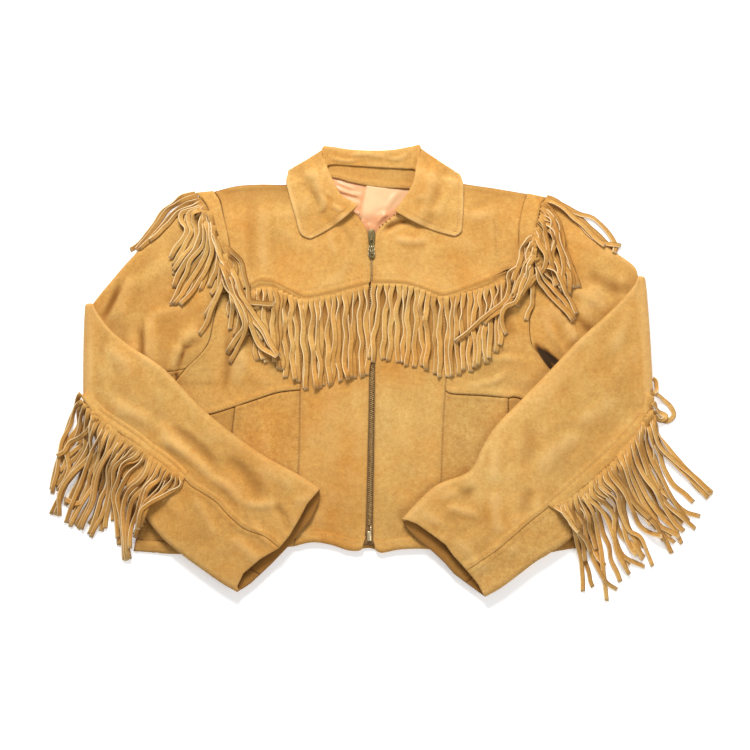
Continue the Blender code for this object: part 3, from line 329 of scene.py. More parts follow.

# %% [markdown]
# ## Finishes
# Suede is the flesh side of a hide: a dense short nap that reads lighter or darker by the way it
# was last brushed. Three sizes of noise make it: broad clouds of hide colour, brush marks of a few
# millimetres, and fibres under a millimetre that also drive the bump. Cut edges show the pale
# core, so a cut-edge attribute mixes cream in there; on one rim of each strand it is also a painted
# highlight. The tone attribute is painted shade in folds and gaps, with small differences between
# panels, and below zero a painted highlight on ridges and rolled edges.

# %% A finish and its nodes


class Finish:
    """A new material, and one method for each kind of node that the finishes mix."""

    def __init__(self, name):
        self.material = bpy.data.materials.new(name)
        self.material.use_nodes = True
        self.nodes, self.links = self.material.node_tree.nodes, self.material.node_tree.links
        self.place = self.nodes.new("ShaderNodeTexCoord").outputs["Object"]

    def feed(self, socket, value):
        """Links another node's output, or sets a plain value."""
        if hasattr(value, "is_linked"):
            self.links.new(value, socket)
        else:
            socket.default_value = value

    def node(self, kind, inputs, **settings):
        node = self.nodes.new(f"ShaderNode{kind}")
        for name, value in settings.items():
            setattr(node, name, value)
        for socket, value in inputs.items():
            self.feed(node.inputs[socket], value)
        return node

    def noise(self, scale, detail, roughness=0.55):
        return self.node("TexNoise", {"Vector": self.place, "Scale": scale, "Detail": detail,
                                      "Roughness": roughness}).outputs["Fac"]

    def wave(self, scale, distortion=0.0, bands="X"):
        inputs = {"Vector": self.place, "Scale": scale, "Distortion": distortion}
        return self.node("TexWave", inputs, bands_direction=bands).outputs["Fac"]

    def ramp(self, source, stops):
        node = self.node("ValToRGB", {"Fac": source})
        marks = node.color_ramp.elements
        for index, (place, colour) in enumerate(stops):
            mark = marks[index] if index < 2 else marks.new(place)
            mark.position, mark.color = place, (*colour, 1)
        return node.outputs["Color"]

    def mixed(self, factor, first, second, blend="MIX"):
        return self.node("Mix", {0: factor, 6: first, 7: second}, data_type="RGBA",
                         blend_type=blend).outputs[2]

    def attribute(self, name):
        return self.node("Attribute", {}, attribute_name=name).outputs["Fac"]

    def clamped(self, operation, source, value):
        return self.node("Math", {0: source, 1: value}, operation=operation,
                         use_clamp=True).outputs[0]

    def bump(self, height, strength, distance, below=None):
        inputs = {"Height": height, "Strength": strength, "Distance": distance}
        if below:
            inputs["Normal"] = below
        return self.node("Bump", inputs).outputs["Normal"]

    def made(self, inputs):
        """The material, with these inputs on its shader."""
        for socket, value in inputs.items():
            self.feed(self.nodes["Principled BSDF"].inputs[socket], value)
        return self.material


print("a finish can use:", *[name for name in vars(Finish) if not name.startswith("_")])

# %% Suede
LIGHT_HIDE, HIDE, DEEP_HIDE = (0.62, 0.361, 0.109), (0.56, 0.303, 0.081), (0.50, 0.243, 0.054)
# Cream of a cut edge's pale core, also a painted highlight on one rim of each strand, and a painted
# highlight for ridges and rolled edges.
CUT_CORE_AND_HIGHLIGHT, PAINTED_HIGHLIGHT = (0.86, 0.66, 0.38, 1), (0.78, 0.52, 0.22, 1)
# Painted shade, and the darker painted shade of a deep gap.
SHADED, DEEP_GAP_SHADE = (0.26, 0.105, 0.018, 1), (0.035, 0.016, 0.005, 1)


def suede_material(name, nap):
    """Suede whose nap shows this much: 0.56 on a smooth panel and 0.76 on a shaggy one."""
    hide = Finish(name)
    fibre, grain = hide.noise(900, 3, 0.7), hide.noise(330, 3, 0.6)
    base = hide.ramp(hide.noise(8, 3), [(0.22, DEEP_HIDE), (0.78, LIGHT_HIDE), (0.50, HIDE)])
    patches = hide.ramp(hide.noise(11, 4, 0.65), [
        (0.33, (0.50, 0.425, 0.31)), (0.67, (0.49, 0.56, 0.64)), (0.5, (0.5, 0.5, 0.5))])
    base = hide.mixed(0.75, base, patches, "OVERLAY")
    streaks = hide.ramp(hide.noise(150, 5, 0.7), [
        (0.30, (0.37, 0.33, 0.27)), (0.70, (0.61, 0.63, 0.66))])
    base = hide.mixed(0.9 * nap, base, streaks, "OVERLAY")
    specks = hide.ramp(grain, [(0.3, (0.40, 0.40, 0.40)), (0.7, (0.60, 0.60, 0.60))])
    base = hide.mixed(nap, base, specks, "OVERLAY")
    # A tone up to 1 is painted shade, above 1 the deeper painted shade of a gap, and below 0 a
    # painted highlight on a ridge or a rolled edge.
    tone = hide.attribute("tone")
    base = hide.mixed(tone, base, SHADED)
    base = hide.mixed(hide.clamped("SUBTRACT", tone, 1), base, DEEP_GAP_SHADE)
    base = hide.mixed(hide.clamped("MULTIPLY", tone, -1), base, PAINTED_HIGHLIGHT)
    base = hide.mixed(hide.attribute("cut"), base, CUT_CORE_AND_HIGHLIGHT)
    return hide.made({
        "Base Color": base, "Roughness": 0.92, "Specular IOR Level": 0.15, "Sheen Weight": 0.2,
        "Sheen Roughness": 0.55, "Sheen Tint": (1.0, 0.80, 0.54, 1),
        "Normal": hide.bump(fibre, 0.45, 0.00025, hide.bump(grain, 0.35, 0.0006))})


suede = suede_material("golden_suede", 0.56)
shaggy_suede = suede_material("shaggy_suede", 0.76)
print("finishes:", suede.name, shaggy_suede.name)

# %% [markdown]
# ## One sheet of cloth
# The grid operator makes the net of squares and its points are then moved into place in one go,
# with the two attributes that the suede reads. Solidify adds the wall afterwards.

# %% The sheet maker


def mesh_of(name, bm):
    """The bmesh as a new mesh. The bmesh is let go."""
    mesh = bpy.data.meshes.new(name)
    bm.to_mesh(mesh)
    bm.free()
    return mesh


def set_attribute(mesh, name, values):
    layer = mesh.attributes.new(name, "FLOAT", "POINT")
    layer.data.foreach_set("value", np.asarray(values, np.float32).ravel())


def set_points(mesh, points):
    """Moves the mesh's points to these places, in millimetres."""
    mesh.vertices.foreach_set("co", (points * MM).astype(np.float32).ravel())


def linked(name, data):
    """A new object in the scene."""
    obj = bpy.data.objects.new(name, data)
    bpy.context.scene.collection.objects.link(obj)
    return obj


def finish_piece(mesh, material, body=BODY):
    mesh.materials.append(material)
    mesh.shade_smooth()
    obj = linked(mesh.name, mesh)
    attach(obj, body)
    return obj


def cloth(name, grid, wall=SUEDE, tone=0.0, material=suede):
    """A sheet through these points, with half of its wall on each side."""
    rows, columns = grid.shape[:2]
    bm = bmesh.new()
    bmesh.ops.create_grid(bm, x_segments=columns - 1, y_segments=rows - 1, size=1)
    mesh = mesh_of(name, bm)
    grid = grid.copy()
    grid[..., 2] = np.maximum(grid[..., 2], wall / 2 + FLOOR_GAP)
    set_points(mesh, grid)
    set_attribute(mesh, "tone", np.broadcast_to(tone, (rows, columns)))
    set_attribute(mesh, "cut", np.zeros((rows, columns)))
    mesh.update()
    obj = finish_piece(mesh, material)
    solid = obj.modifiers.new("Wall", "SOLIDIFY")
    solid.thickness, solid.offset = wall * MM, 0
    return obj


print("the sheet maker writes to the slot of", BODY)

# %% [markdown]
# ## The form of the fronts
# An empty jacket laid down keeps a little air in it: it is highest along the middle and the
# armholes, and falls to the back panel at the sides and shoulders. One formula of the plan place
# gives the height of every front panel, so they agree at their seams.

# %% Heights of the body
COLLAR_LIFT = 2.4


def back_height(x, y):
    """The back lies on the ground, and on the collar's fall just below the neck."""
    return COLLAR_LIFT * smooth_step((y - 190) / 16) * smooth_step((112 - np.abs(x)) / 14)


def edge_tables(side):
    """The body's outer edge and the height of the fronts there, both read by y."""
    shares = np.linspace(0, 1, 41)
    line = along(curve_through(ARMHOLE[side]), shares)
    level = SIDE_ROOM + (ARM_ROOM - SIDE_ROOM) * np.sin(np.pi * shares) ** 0.7
    rows = [*zip(line[:, 1], np.abs(line[:, 0]), level)]
    rows += [(y, abs(x), SIDE_ROOM) for x, y in SIDE[side][1:]]
    return np.array(sorted(rows)).T


EDGES = {side: edge_tables(side) for side in SIDES}
SHOULDER_LINE = np.array(sorted(SHOULDER["left"] + SHOULDER["right"])).T


def front_height(x, y):
    """The inner face of the fronts."""
    left, right = EDGES["left"], EDGES["right"]
    outline = np.where(x < 0, np.interp(y, left[0], left[1]), np.interp(y, right[0], right[1]))
    edge = np.where(x < 0, np.interp(y, left[0], left[2]), np.interp(y, right[0], right[2]))
    share = np.minimum(np.abs(x) / outline, 1.0)
    crown = HEM_ROOM + (CHEST_ROOM - HEM_ROOM) * smooth_step((y + 215) / 90)
    height = edge + (crown - edge) * (1 - share ** 2.6)
    inside = np.minimum(1.0, 4 * (1 - share))
    height = height + (crease_relief(x, y, BODY_CREASES) + 0.35 * unevenness(x, y, 46, 3)) * inside
    base = back_height(x, y) + SIDE_ROOM
    from_shoulder = smooth_step((np.interp(x, *SHOULDER_LINE) - y) / 42)
    corner = share ** 8
    return np.maximum(base, (base + (height - base) * from_shoulder) * (1 - corner)
                      + np.maximum(edge, base) * corner)


def height_at(x, y):
    return float(front_height(np.array([x]), np.array([y]))[0])


print("room at the chest:", round(height_at(0.0, 0.0), 1), "mm")

# %% [markdown]
# ## Seams in the sheet
# A sewn seam pulls its two edges down into a fine valley and lifts the double layer beside it.
# Where one panel laps over another its edge stands up instead. The thread pulls the suede into
# faint puckers on both sides, and each line of stitches lies in a shallow groove.

# %% Seam relief
ALLOWANCE_RISE, ALLOWANCE_REACH = 0.55, 8.0
# The groove tone is painted shade in a stitch groove.
GROOVE_DEPTH, GROOVE_HALF, GROOVE_TONE = 0.35, 1.3, 0.10
# How far the edge rises, from which distance and over which reach it does, and its shade and reach.
SEAM_STYLES = {
    "valley": (-1.1, 0, 2.0, 0.6, 1.5), "pressed": (-0.4, 0, 1.2, 0.16, 1.2),
    "lap": (2.0, 3, 24.0, 0, 1), "flap": (1.1, 2, 9.0, 0, 1), "tuck": (-1.0, 0, 7.0, 0.7, 2.6),
    "free": (-0.5, 0, 1.8, 0, 1),
}
EDGES_OF = ("south", "north", "west", "east")


def seam_relief(distance, run, style, grooves, seed):
    """Height and tone that one edge gives to a panel, from each point's distance to it."""
    beside = smooth_step(distance / 2.0) * smooth_step((ALLOWANCE_REACH - distance) / 3)
    pucker = np.sin(run / 1.9 + 1.4 * np.sin(run / 11.0 + seed) + seed) * np.exp(-distance / 4.5)
    pucker *= 0.5 + 0.5 * np.sin(run / 23.0 + 2 * seed)
    rise = ALLOWANCE_RISE * beside + 0.2 * pucker
    # The tone is a little darker over the allowance, with painted shade at the seam by its style
    # and in each groove.
    tone = 0.05 * smooth_step((ALLOWANCE_REACH - distance) / 4)
    step, start, reach, shade, shade_reach = SEAM_STYLES[style]
    rise = rise + step * fade(distance - start, reach)
    tone = tone + shade * fade(distance, shade_reach)
    for groove in grooves:
        near = fade(np.abs(distance - groove), GROOVE_HALF)
        rise, tone = rise - GROOVE_DEPTH * near, tone + GROOVE_TONE * near
    return rise, tone


def cavity_shade_and_ridge_highlight(grid, reach, strength):
    """Painted shade in a hollow and painted highlight on a ridge: each height against the mean
    round it.
    """
    z = grid[..., 2]
    mean = z
    for axis in (0, 1):
        room = [(reach, reach) if k == axis else (0, 0) for k in (0, 1)]
        padded = np.pad(mean, room, mode="reflect")
        total = np.cumsum(np.insert(padded, 0, 0, axis=axis), axis=axis)
        size = mean.shape[axis]
        mean = (np.take(total, np.arange(size) + 2 * reach + 1, axis=axis)
                - np.take(total, np.arange(size), axis=axis)) / (2 * reach + 1)
    return np.clip(strength * (mean - z), -0.14, 0.36)


def sewn(grid, edges, base_tone=0.0):
    """The grid with its seams pressed in, and each point's tone. edges: name: (style, grooves)."""
    distances = dict(zip(EDGES_OF, edge_distances(grid)))
    tone, rise = np.full(grid.shape[:2], base_tone), np.zeros(grid.shape[:2])
    for seed, (name, distance) in enumerate(distances.items()):
        if name not in edges:
            continue
        run = distances["west" if name in ("south", "north") else "south"]
        more, darker = seam_relief(distance, run, *edges[name], seed + grid[0, 0, 0])
        rise, tone = rise + more, tone + darker
    grid = grid.copy()
    # Painted shade in hollows and painted highlight on ridges.
    tone = tone + cavity_shade_and_ridge_highlight(grid, 5, 0.12) + cavity_shade_and_ridge_highlight(grid, 10, 0.07)
    grid[..., 2] += rise
    return grid, tone


def drawn_in(grid, gap, ends=True):
    """The grid with its edges pulled inwards by the gap: all four, or only west and east."""
    grid = grid.copy()
    pairs = [(grid[0], grid[1]), (grid[-1], grid[-2])] if ends else []
    for outer, inner in [*pairs, (grid[:, 0], grid[:, 1]), (grid[:, -1], grid[:, -2])]:
        way = inner - outer
        outer += way / np.maximum(np.linalg.norm(way, axis=-1, keepdims=True), 1e-9) * gap
    return grid


print("seam styles:", *SEAM_STYLES)

# %% [markdown]
# ## Stitches
# Each stitch is a small thread capsule: a coarse sphere stretched to three millimetres and laid
# along the seam. They are joined into one mesh for each seam group, because a thousand separate
# objects would be slow. A line of stitches follows the panel's own grid at a set distance inside
# its edge, so it can never float off the suede.

# %% Thread
STITCH, STITCH_GAP, THREAD = 3.0, 1.0, 0.42
thread = Finish("polyester_thread").made({"Base Color": (0.64, 0.40, 0.145, 1), "Roughness": 0.7})
stitch_lines = {}


def line_inside(grid, edge, inset):
    """Points of the surface at a set distance inside one of its edges."""
    rows = {"south": grid, "north": grid[::-1], "west": grid.swapaxes(0, 1),
            "east": grid[:, ::-1].swapaxes(0, 1)}[edge]
    lines = rows.swapaxes(0, 1)
    return np.array([along(line, [inset / lengths_of(line)[-1]])[0] for line in lines])


def add_stitches(group, line, lift=SUEDE / 2):
    """Notes a line of stitches to be made in this group, lifted from the sheet's middle."""
    stitch_lines.setdefault(group, []).append(line + [0, 0, lift])


def repeated(name, template, count):
    """One mesh of many copies of a template, joined by doubling."""
    whole, part = bmesh.new(), template.copy()
    while count:
        if count % 2:
            whole.from_mesh(part)
        count //= 2
        twice = bmesh.new()
        twice.from_mesh(part)
        twice.from_mesh(part)
        twice.to_mesh(part)
        twice.free()
    bpy.data.meshes.remove(part)
    return mesh_of(name, whole)


def points_of(mesh):
    points = np.empty(len(mesh.vertices) * 3, np.float32)
    mesh.vertices.foreach_get("co", points)
    return points.reshape(-1, 3)


def make_stitches(group):
    bm = bmesh.new()
    bmesh.ops.create_uvsphere(bm, u_segments=4, v_segments=6, radius=1)
    capsule = mesh_of("capsule", bm)
    places = []
    for line in stitch_lines[group]:
        total = lengths_of(line)[-1]
        starts = np.arange(int(total / (STITCH + STITCH_GAP))) * (STITCH + STITCH_GAP) / total
        ends = along(line, starts + STITCH / total)
        for first, last in zip(along(line, starts), ends):
            way = Vector(last - first)
            turn = way.to_track_quat("Z", "Y").to_matrix()
            size = Matrix.Diagonal((THREAD, THREAD, way.length / 2))
            places.append(points_of(capsule) @ np.array(turn @ size).T + (first + last) / 2)
    mesh = repeated(f"stitches_{group}", capsule, len(places))
    set_points(mesh, np.concatenate(places))
    finish_piece(mesh, thread)
    print(mesh.name, len(places))


# %% [markdown]
# ## Declaring the cloth
# Each sheet is declared with the size it was cut to. That is measured on its own grid: the longest
# line across, the longest line along, and the sum of its squares for the area.

# %% Cut sizes
cut_sizes = {}


def declare(obj, grid):
    width = max(lengths_of(row)[-1] for row in grid)
    length = max(lengths_of(column)[-1] for column in grid.swapaxes(0, 1))
    across, up = grid[:-1, 1:] - grid[:-1, :-1], grid[1:, :-1] - grid[:-1, :-1]
    area = np.linalg.norm(np.cross(across, up), axis=-1).sum()
    cut_sizes[obj.name] = (round(width), round(length), round(area / 100))


print("sizes are width and length in mm, and area in square cm")

# %% [markdown]
# ## Back, facing and lining
# The back is one panel that lies flat on the floor. At the neck it lifts over the collar. Inside
# the neck a band of suede faces it, and below that shows the satin lining, which is loose and full
# and so has real folds: a deep pleat down the middle and smaller ones that fan from it.

# %% Back panel


def laid(plan, height):
    """A plan grid with its heights."""
    return np.dstack([plan, height(plan[..., 0], plan[..., 1])])


def back_outline(side):
    below = curve_through(SIDE[side])
    return np.vstack([curve_through(ARMHOLE[side]), below[1:]])[::-1]


def make_back():
    left, right = back_outline("left"), back_outline("right")
    neck = [(-64, 258), (-45, 261), (0, 260), (35, 259), (60, 258)]
    bottom = curve_through([*HEM["left"][::-1][:-1], (-4, -216), *HEM["right"][1:]])
    top = curve_through([*SHOULDER["left"][::-1], *neck[1:-1], *SHOULDER["right"]])
    bottom[0], bottom[-1], top[0], top[-1] = left[0], right[0], left[-1], right[-1]
    plan = drawn_in(patch(bottom, top, left, right, 4.0), SEAM_GAP / 2)
    grid = laid(plan, lambda x, y: back_height(x, y) + SUEDE / 2)
    obj = cloth("back_panel", grid, tone=0.06)
    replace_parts(obj, "back")
    stamp(grid, SUEDE / 2, factor=6)
    declare(obj, grid)


make_back()
print("back:", cut_sizes["back_panel"])

# %% Satin
LINING_FOLDS = [
    (-14, 226, -50, 240, 3, 5, 2.6), (-14, 220, -46, 228, -2, 3.5, -1.6),
    (-15, 214, -46, 219, -2, 5, 2.4), (-16, 208, -40, 208, 2, 3.5, -1.4),
    (-14, 200, -34, 198, -3, 5, 1.8), (-22, 234, -48, 244, 0, 4, 1.5),
    (-12, 196, -16, 184, 0, 4, 1.5), (2, 202, 22, 208, 2, 6, -1.0), (34, 232, 12, 194, -3, 6, 1.0),
    (-4, 192, -1, 180, 0, 4, 1.2), (6, 190, 20, 203, 2, 3.5, 1.3),
]
PLEAT = ((178, -15.0), (196, -14.5), (212, -12.5), (226, -9.5), (240, -7.5))
peach = Finish("peach_satin")
satin_colour = peach.ramp(peach.noise(22, 2), [
    (0.35, (0.74, 0.43, 0.215)), (0.65, (0.79, 0.50, 0.26))])
satin = peach.made({
    "Base Color": peach.mixed(peach.attribute("tone"), satin_colour, (0.70, 0.29, 0.12, 1)),
    "Roughness": 0.42, "Sheen Weight": 0.3,
    "Normal": peach.bump(peach.wave(700, 0.6), 0.12, 0.0001)})
print("lining folds:", len(LINING_FOLDS))

# %% Neck facing and lining
BACK_NECK = [(-64, 262), (-45, 269), (0, 266), (35, 264), (60, 261)]
FACING_EDGE = [(-56, 250), (-41, 247), (-28, 243), (-8, 239), (12, 236), (35, 235), (52, 234)]
LINING_EDGE = [(-58, 170), (-20, 160), (20, 158), (54, 168)]


def pleat_at(y):
    return np.interp(y, *np.array(PLEAT).T)


def lining_height(x, y):
    opening = smooth_step((52 - np.abs(x)) / 16) * smooth_step((y - 172) / 14)
    folds = crease_relief(x, y, LINING_FOLDS) + 0.12 * unevenness(x, y, 18, 8)
    folds = folds + 2.6 * smooth_step((x - pleat_at(y)) / 1.8) * smooth_step((42 - x) / 40)
    return back_height(x, y) + SUEDE + SATIN / 2 + 0.5 + np.maximum(folds, -0.3) * opening


def make_neck():
    neck, facing = curve_through(BACK_NECK), curve_through(FACING_EDGE)
    lining = curve_through(LINING_EDGE)
    sides = [np.array([facing[k], neck[k]]) for k in (0, -1)]
    band = laid(drawn_in(patch(facing, neck, *sides, 1.6), SEAM_GAP / 2),
                lambda x, y: back_height(x, y) + SUEDE + 0.4 + SUEDE / 2)
    band, tone = sewn(band, {"south": ("flap", (2.0,))}, 0.16)
    obj = cloth("neck_facing", band, tone=tone)
    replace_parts(obj, "back_neck_facing")
    declare(obj, band)
    add_stitches("neck", line_inside(band, "south", 2.0))
    sides = [np.array([lining[k], facing[k]]) for k in (0, -1)]
    plan = drawn_in(patch(lining, facing, *sides, 1.2), SEAM_GAP / 2)
    grid = laid(plan, lining_height)
    # The lining's tone: darker left of the pleat's fold, with a painted shadow just beside the
    # fold, painted shade towards its lower edge under the fronts, and faint random unevenness.
    past = grid[..., 0] - pleat_at(grid[..., 1])
    pleat_shadow = 0.45 * np.exp(-np.minimum(past + 1.2, 0) ** 2 / 6) * (past < 0)
    tone = 0.55 * smooth_step(-past / 2) + pleat_shadow
    tone += 0.75 * smooth_step((207 - grid[..., 1] + 0.3 * grid[..., 0]) / 12)
    tone = np.clip(tone + 0.06 * unevenness(grid[..., 0], grid[..., 1], 12, 4), 0, 1)
    satin_piece = cloth("satin_lining", grid, SATIN, tone, satin)
    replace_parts(satin_piece, "neck_lining")
    declare(satin_piece, grid)
    stamp(band, SUEDE / 2)
    stamp(grid, SATIN / 2)


make_neck()
print("lining:", cut_sizes["satin_lining"])

# %% [markdown]
# ## The two fronts
# Each front has five panels: yoke, centre front, chest, pocket skirt and the flank behind the
# pocket slit. The yoke's pointed lower edge laps over the fringe, and the pocket panel's edge laps
# over the flank. The hem is folded up inside, which shows as a rounded double edge.

# %% Seam lines of a front


def stretch(points, start, end):
    """The part of an outline between two of its own points, as a curve."""
    first, last = points.index(start), points.index(end)
    return curve_through(points[first:last + 1])


def joined(*lines):
    return np.vstack([lines[0], *[line[1:] for line in lines[1:]]])


def front_patches(side):
    """The south, north, west and east edge of each panel."""
    armhole = curve_through(ARMHOLE[side])
    middle = tuple(along(armhole, [0.5])[0])
    yoke, princess, pocket = [*YOKE_EDGE[side][:-1], middle], PRINCESS[side], POCKET_SEAM[side]
    hem, slit = HEM[side], curve_through(POCKET_SLIT[side])[::-1]
    zip_cross, point, crossing, side_point = yoke[0], princess[0], pocket[0], pocket[-1]
    slit_top, slit_foot, hem_cross = POCKET_SLIT[side][0], POCKET_SLIT[side][-1], princess[-1]
    yoke_in, yoke_out = stretch(yoke, zip_cross, point), stretch(yoke, point, middle)
    pocket_in = stretch(pocket, crossing, slit_top)
    pocket_out = stretch(pocket, slit_top, side_point)
    princess_high = stretch(princess, point, crossing)
    princess_low = stretch(princess, crossing, hem_cross)
    armhole_low = np.vstack([along(armhole, np.linspace(0.5, 1, 80)), [side_point]])
    return {
        "yoke": (joined(yoke_in, yoke_out), curve_through(SHOULDER[side]),
                 curve_through([*NECK[side], zip_cross])[::-1],
                 along(armhole, np.linspace(0, 0.5, 80))[::-1]),
        "front_centre": (stretch(hem, hem[0], hem_cross), yoke_in,
                         curve_through(ZIP_EDGE[side])[::-1],
                         joined(princess_high, princess_low)[::-1]),
        "front_chest": (joined(pocket_in, pocket_out), yoke_out, princess_high[::-1],
                        armhole_low[::-1]),
        "front_pocket": (stretch(hem, hem_cross, slit_foot), pocket_in, princess_low[::-1], slit),
        "front_flank": (stretch(hem, slit_foot, hem[-1]), pocket_out, slit,
                        curve_through([side_point, *SIDE[side][2:]])[::-1]),
    }


print("panels of a front:", *front_patches("left"))

# %% Seams, tones and hems of the panels
VALLEY, TUCK, PRESSED = ("valley", ()), ("tuck", ()), ("pressed", (2.4,))
HEMMED, TURNED = ("free", (9.0,)), ("free", (5.5,))
# How each panel ends at its south, north, west and east edge.
PANEL_SEAMS = {
    "yoke": (("lap", (2.6, 9.0)), VALLEY, TURNED, VALLEY),
    "front_centre": (HEMMED, TUCK, TURNED, PRESSED),
    "front_chest": (("flap", (2.4,)), TUCK, PRESSED, VALLEY),
    "front_pocket": (HEMMED, VALLEY, PRESSED, ("flap", (2.2,))),
    "front_flank": (HEMMED, VALLEY, TUCK, VALLEY),
}
# Each panel's base tone on the left and on the right front: small differences between panels, and
# on the flank behind the pocket slit painted shade.
PANEL_TONE = {"yoke": (0.0, 0.0), "front_centre": (-0.04, 0.02), "front_chest": (0.04, 0.05),
              "front_pocket": (0.05, 0.20), "front_flank": (0.30, 0.34)}
# Painted shade over the yoke towards the shoulder.
SHOULDER_SHADE = {"left": 0.30, "right": 0.10}
HEM_FOLD = ((0.9, -0.95), (0.2, -1.75), (-4.0, -1.8), (-14.0, -1.8))


def with_hem(grid):
    """The panel with its lower edge folded up inside. Each fold row: outwards and up."""
    edge, outward = grid[0], grid[0] - grid[2]
    outward = outward / np.linalg.norm(outward, axis=-1, keepdims=True)
    room = smooth_step((edge[:, 2:] - 3.4) / 3)
    rows = [edge + outward * out + np.array([0, 0, 1]) * up * room for out, up in HEM_FOLD]
    return np.concatenate([np.array(rows[::-1]), grid])


print("folds of the hem:", len(HEM_FOLD))

# %% Make the fronts


def make_front(side):
    for name, edges in front_patches(side).items():
        seams = dict(zip(EDGES_OF, PANEL_SEAMS[name]))
        plan = drawn_in(patch(*edges, 2.4), SEAM_GAP / 2)
        grid = laid(plan, lambda x, y: front_height(x, y) + SUEDE / 2)
        grid, tone = sewn(grid, seams, PANEL_TONE[name][side == "right"])
        tone = tone + crease_relief(grid[..., 0], grid[..., 1], BODY_SHADES)
        # Painted shadow of the yoke fringe on the panels beneath it, darker still near the yoke; on
        # the chest it stops short of the armhole.
        if name in ("front_centre", "front_chest"):
            _, from_yoke, _, from_armhole = edge_distances(grid)
            under = smooth_step((90 - from_yoke) / 14)
            if name == "front_chest":
                under = under * smooth_step((from_armhole - 34) / 16)
            tone = tone + 0.5 * under + 0.5 * under * smooth_step((34 - from_yoke) / 22)
        # Painted shade over the yoke towards the shoulder.
        if name == "yoke":
            tone = tone + SHOULDER_SHADE[side] * smooth_step((grid[..., 1] - 200) / 24)
        for edge, (_, grooves) in seams.items():
            for groove in grooves:
                add_stitches(f"front_{side}", line_inside(grid, edge, groove))
        stamp(grid, SUEDE / 2)
        whole = grid
        if seams["south"] is HEMMED:
            whole = with_hem(grid)
            tone = np.concatenate([np.repeat(tone[:1], len(HEM_FOLD), axis=0), tone])
        if side == "left":
            whole, tone = whole[:, ::-1], tone[:, ::-1]
        nap = shaggy_suede if name == "front_pocket" else suede
        obj = cloth(f"{name}_{side}_suede", whole, tone=tone, material=nap)
        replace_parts(obj, f"{name}_{side}")
        declare(obj, whole)


for side in SIDES:
    make_front(side)
print("fronts:", {name: size for name, size in cut_sizes.items() if "_left_" in name})

# %% [markdown]
# ## The zip
# The tape lies under both fronts and the teeth stand on it in two rows that mesh. One tooth is a
# bevelled block, copied along the line between the two front edges. The slider sits at the top
# under its bridge, and the pull hangs from that on a hinge, so it rides on its own body. The last
# tooth sits in a bright box with a thin pin above it.

# %% Zip sizes and finishes
ZIP_LINE = [(-0.5, 178), (-0.52, 165), (-0.5, 140), (-0.5, 116), (0.3, 60), (0.4, 8), (-1.2, -92),
            (-3.2, -192), (-4, -214)]
TOOTH_PITCH, TOOTH = 2.54, (3.3, 1.25, 1.7)
TOOTH_FROM, TOOTH_TO = 170, -190
TOOTH_OUT, OPEN_TURN = 1.15, 0.7
TAPE_HALF, TAPE_WALL, TAPE_FOOT, TAPE_TOP = 12.5, 0.8, -212, 176
TO_METRES = Matrix.Scale(MM, 4)
# The last teeth of each open half, along the edges of the neck.
OPEN_TEETH = [(-14, 198), (-16.5, 202), (9, 187), (13, 190), (17.5, 193), (22, 197), (27, 202)]
zip_curve = curve_through(ZIP_LINE)


def metal(name, light, dark, roughness, scale):
    """Worn metal: its patina sets both its colour and how dull it is."""
    finish = Finish(name)
    patina = finish.noise(scale, 3)
    dull = finish.ramp(patina, [(0.3, (roughness + 0.15,) * 3), (0.7, (roughness,) * 3)])
    return finish.made({
        "Base Color": finish.ramp(patina, [(0.36, dark), (0.62, light)]), "Metallic": 0.9,
        "Roughness": dull, "Normal": finish.bump(finish.noise(1500, 2), 0.2, 0.0001)})


antique_brass = metal("antique_brass", (0.36, 0.28, 0.13), (0.20, 0.15, 0.06), 0.32, 90)
worn_brass = metal("worn_brass", (0.56, 0.37, 0.16), (0.24, 0.14, 0.05), 0.4, 700)
rubbed_brass = metal("rubbed_brass", (0.74, 0.64, 0.42), (0.52, 0.43, 0.25), 0.35, 120)
pale_brass = metal("pale_brass", (0.93, 0.80, 0.52), (0.80, 0.62, 0.32), 0.22, 300)
woven = Finish("woven_tape")
woven_tape = woven.made({
    "Base Color": woven.ramp(woven.noise(500, 2), [
        (0.3, (0.15, 0.075, 0.022)), (0.7, (0.25, 0.135, 0.045))]),
    "Roughness": 0.85, "Normal": woven.bump(woven.wave(330, bands="Y"), 0.5, 0.0003)})


def zip_point(y):
    """Plan point of the zip line at this y, with the height of the fronts' inner face there."""
    x = float(np.interp(-y, -zip_curve[:, 1], zip_curve[:, 0]))
    return x, float(y), height_at(x, y)


print("zip line:", round(lengths_of(zip_curve)[-1]), "mm")

# %% Tape and teeth


def make_tape():
    centre = np.array([zip_point(y) for y in np.linspace(TAPE_FOOT, TAPE_TOP, 160)])
    across = np.linspace(-TAPE_HALF, TAPE_HALF, 13)
    grid = np.repeat(centre[:, None], len(across), axis=1)
    grid[..., 0] += across
    grid[..., 2] -= TAPE_WALL / 2 + 0.3
    obj = cloth("zip_tapes", grid, TAPE_WALL, material=woven_tape)
    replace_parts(obj, "zip_tape")
    declare(obj, grid)


def block(size, bevel, place=None):
    """A box with rounded edges, as a bmesh."""
    bm = bmesh.new()
    bmesh.ops.create_cube(bm, size=1, matrix=Matrix.Diagonal((*size, 1)))
    bmesh.ops.bevel(bm, geom=bm.edges[:], offset=bevel, offset_type="OFFSET", segments=2,
                    profile=0.5, affect="EDGES", material=-1)
    if place is not None:
        bmesh.ops.transform(bm, matrix=place, verts=bm.verts[:])
    return bm


def add_copy(target, mesh, matrix):
    """Adds a copy of a mesh to a bmesh, at its place."""
    already = len(target.verts)
    target.from_mesh(mesh)
    target.verts.ensure_lookup_table()
    bmesh.ops.transform(target, matrix=matrix, verts=target.verts[already:])


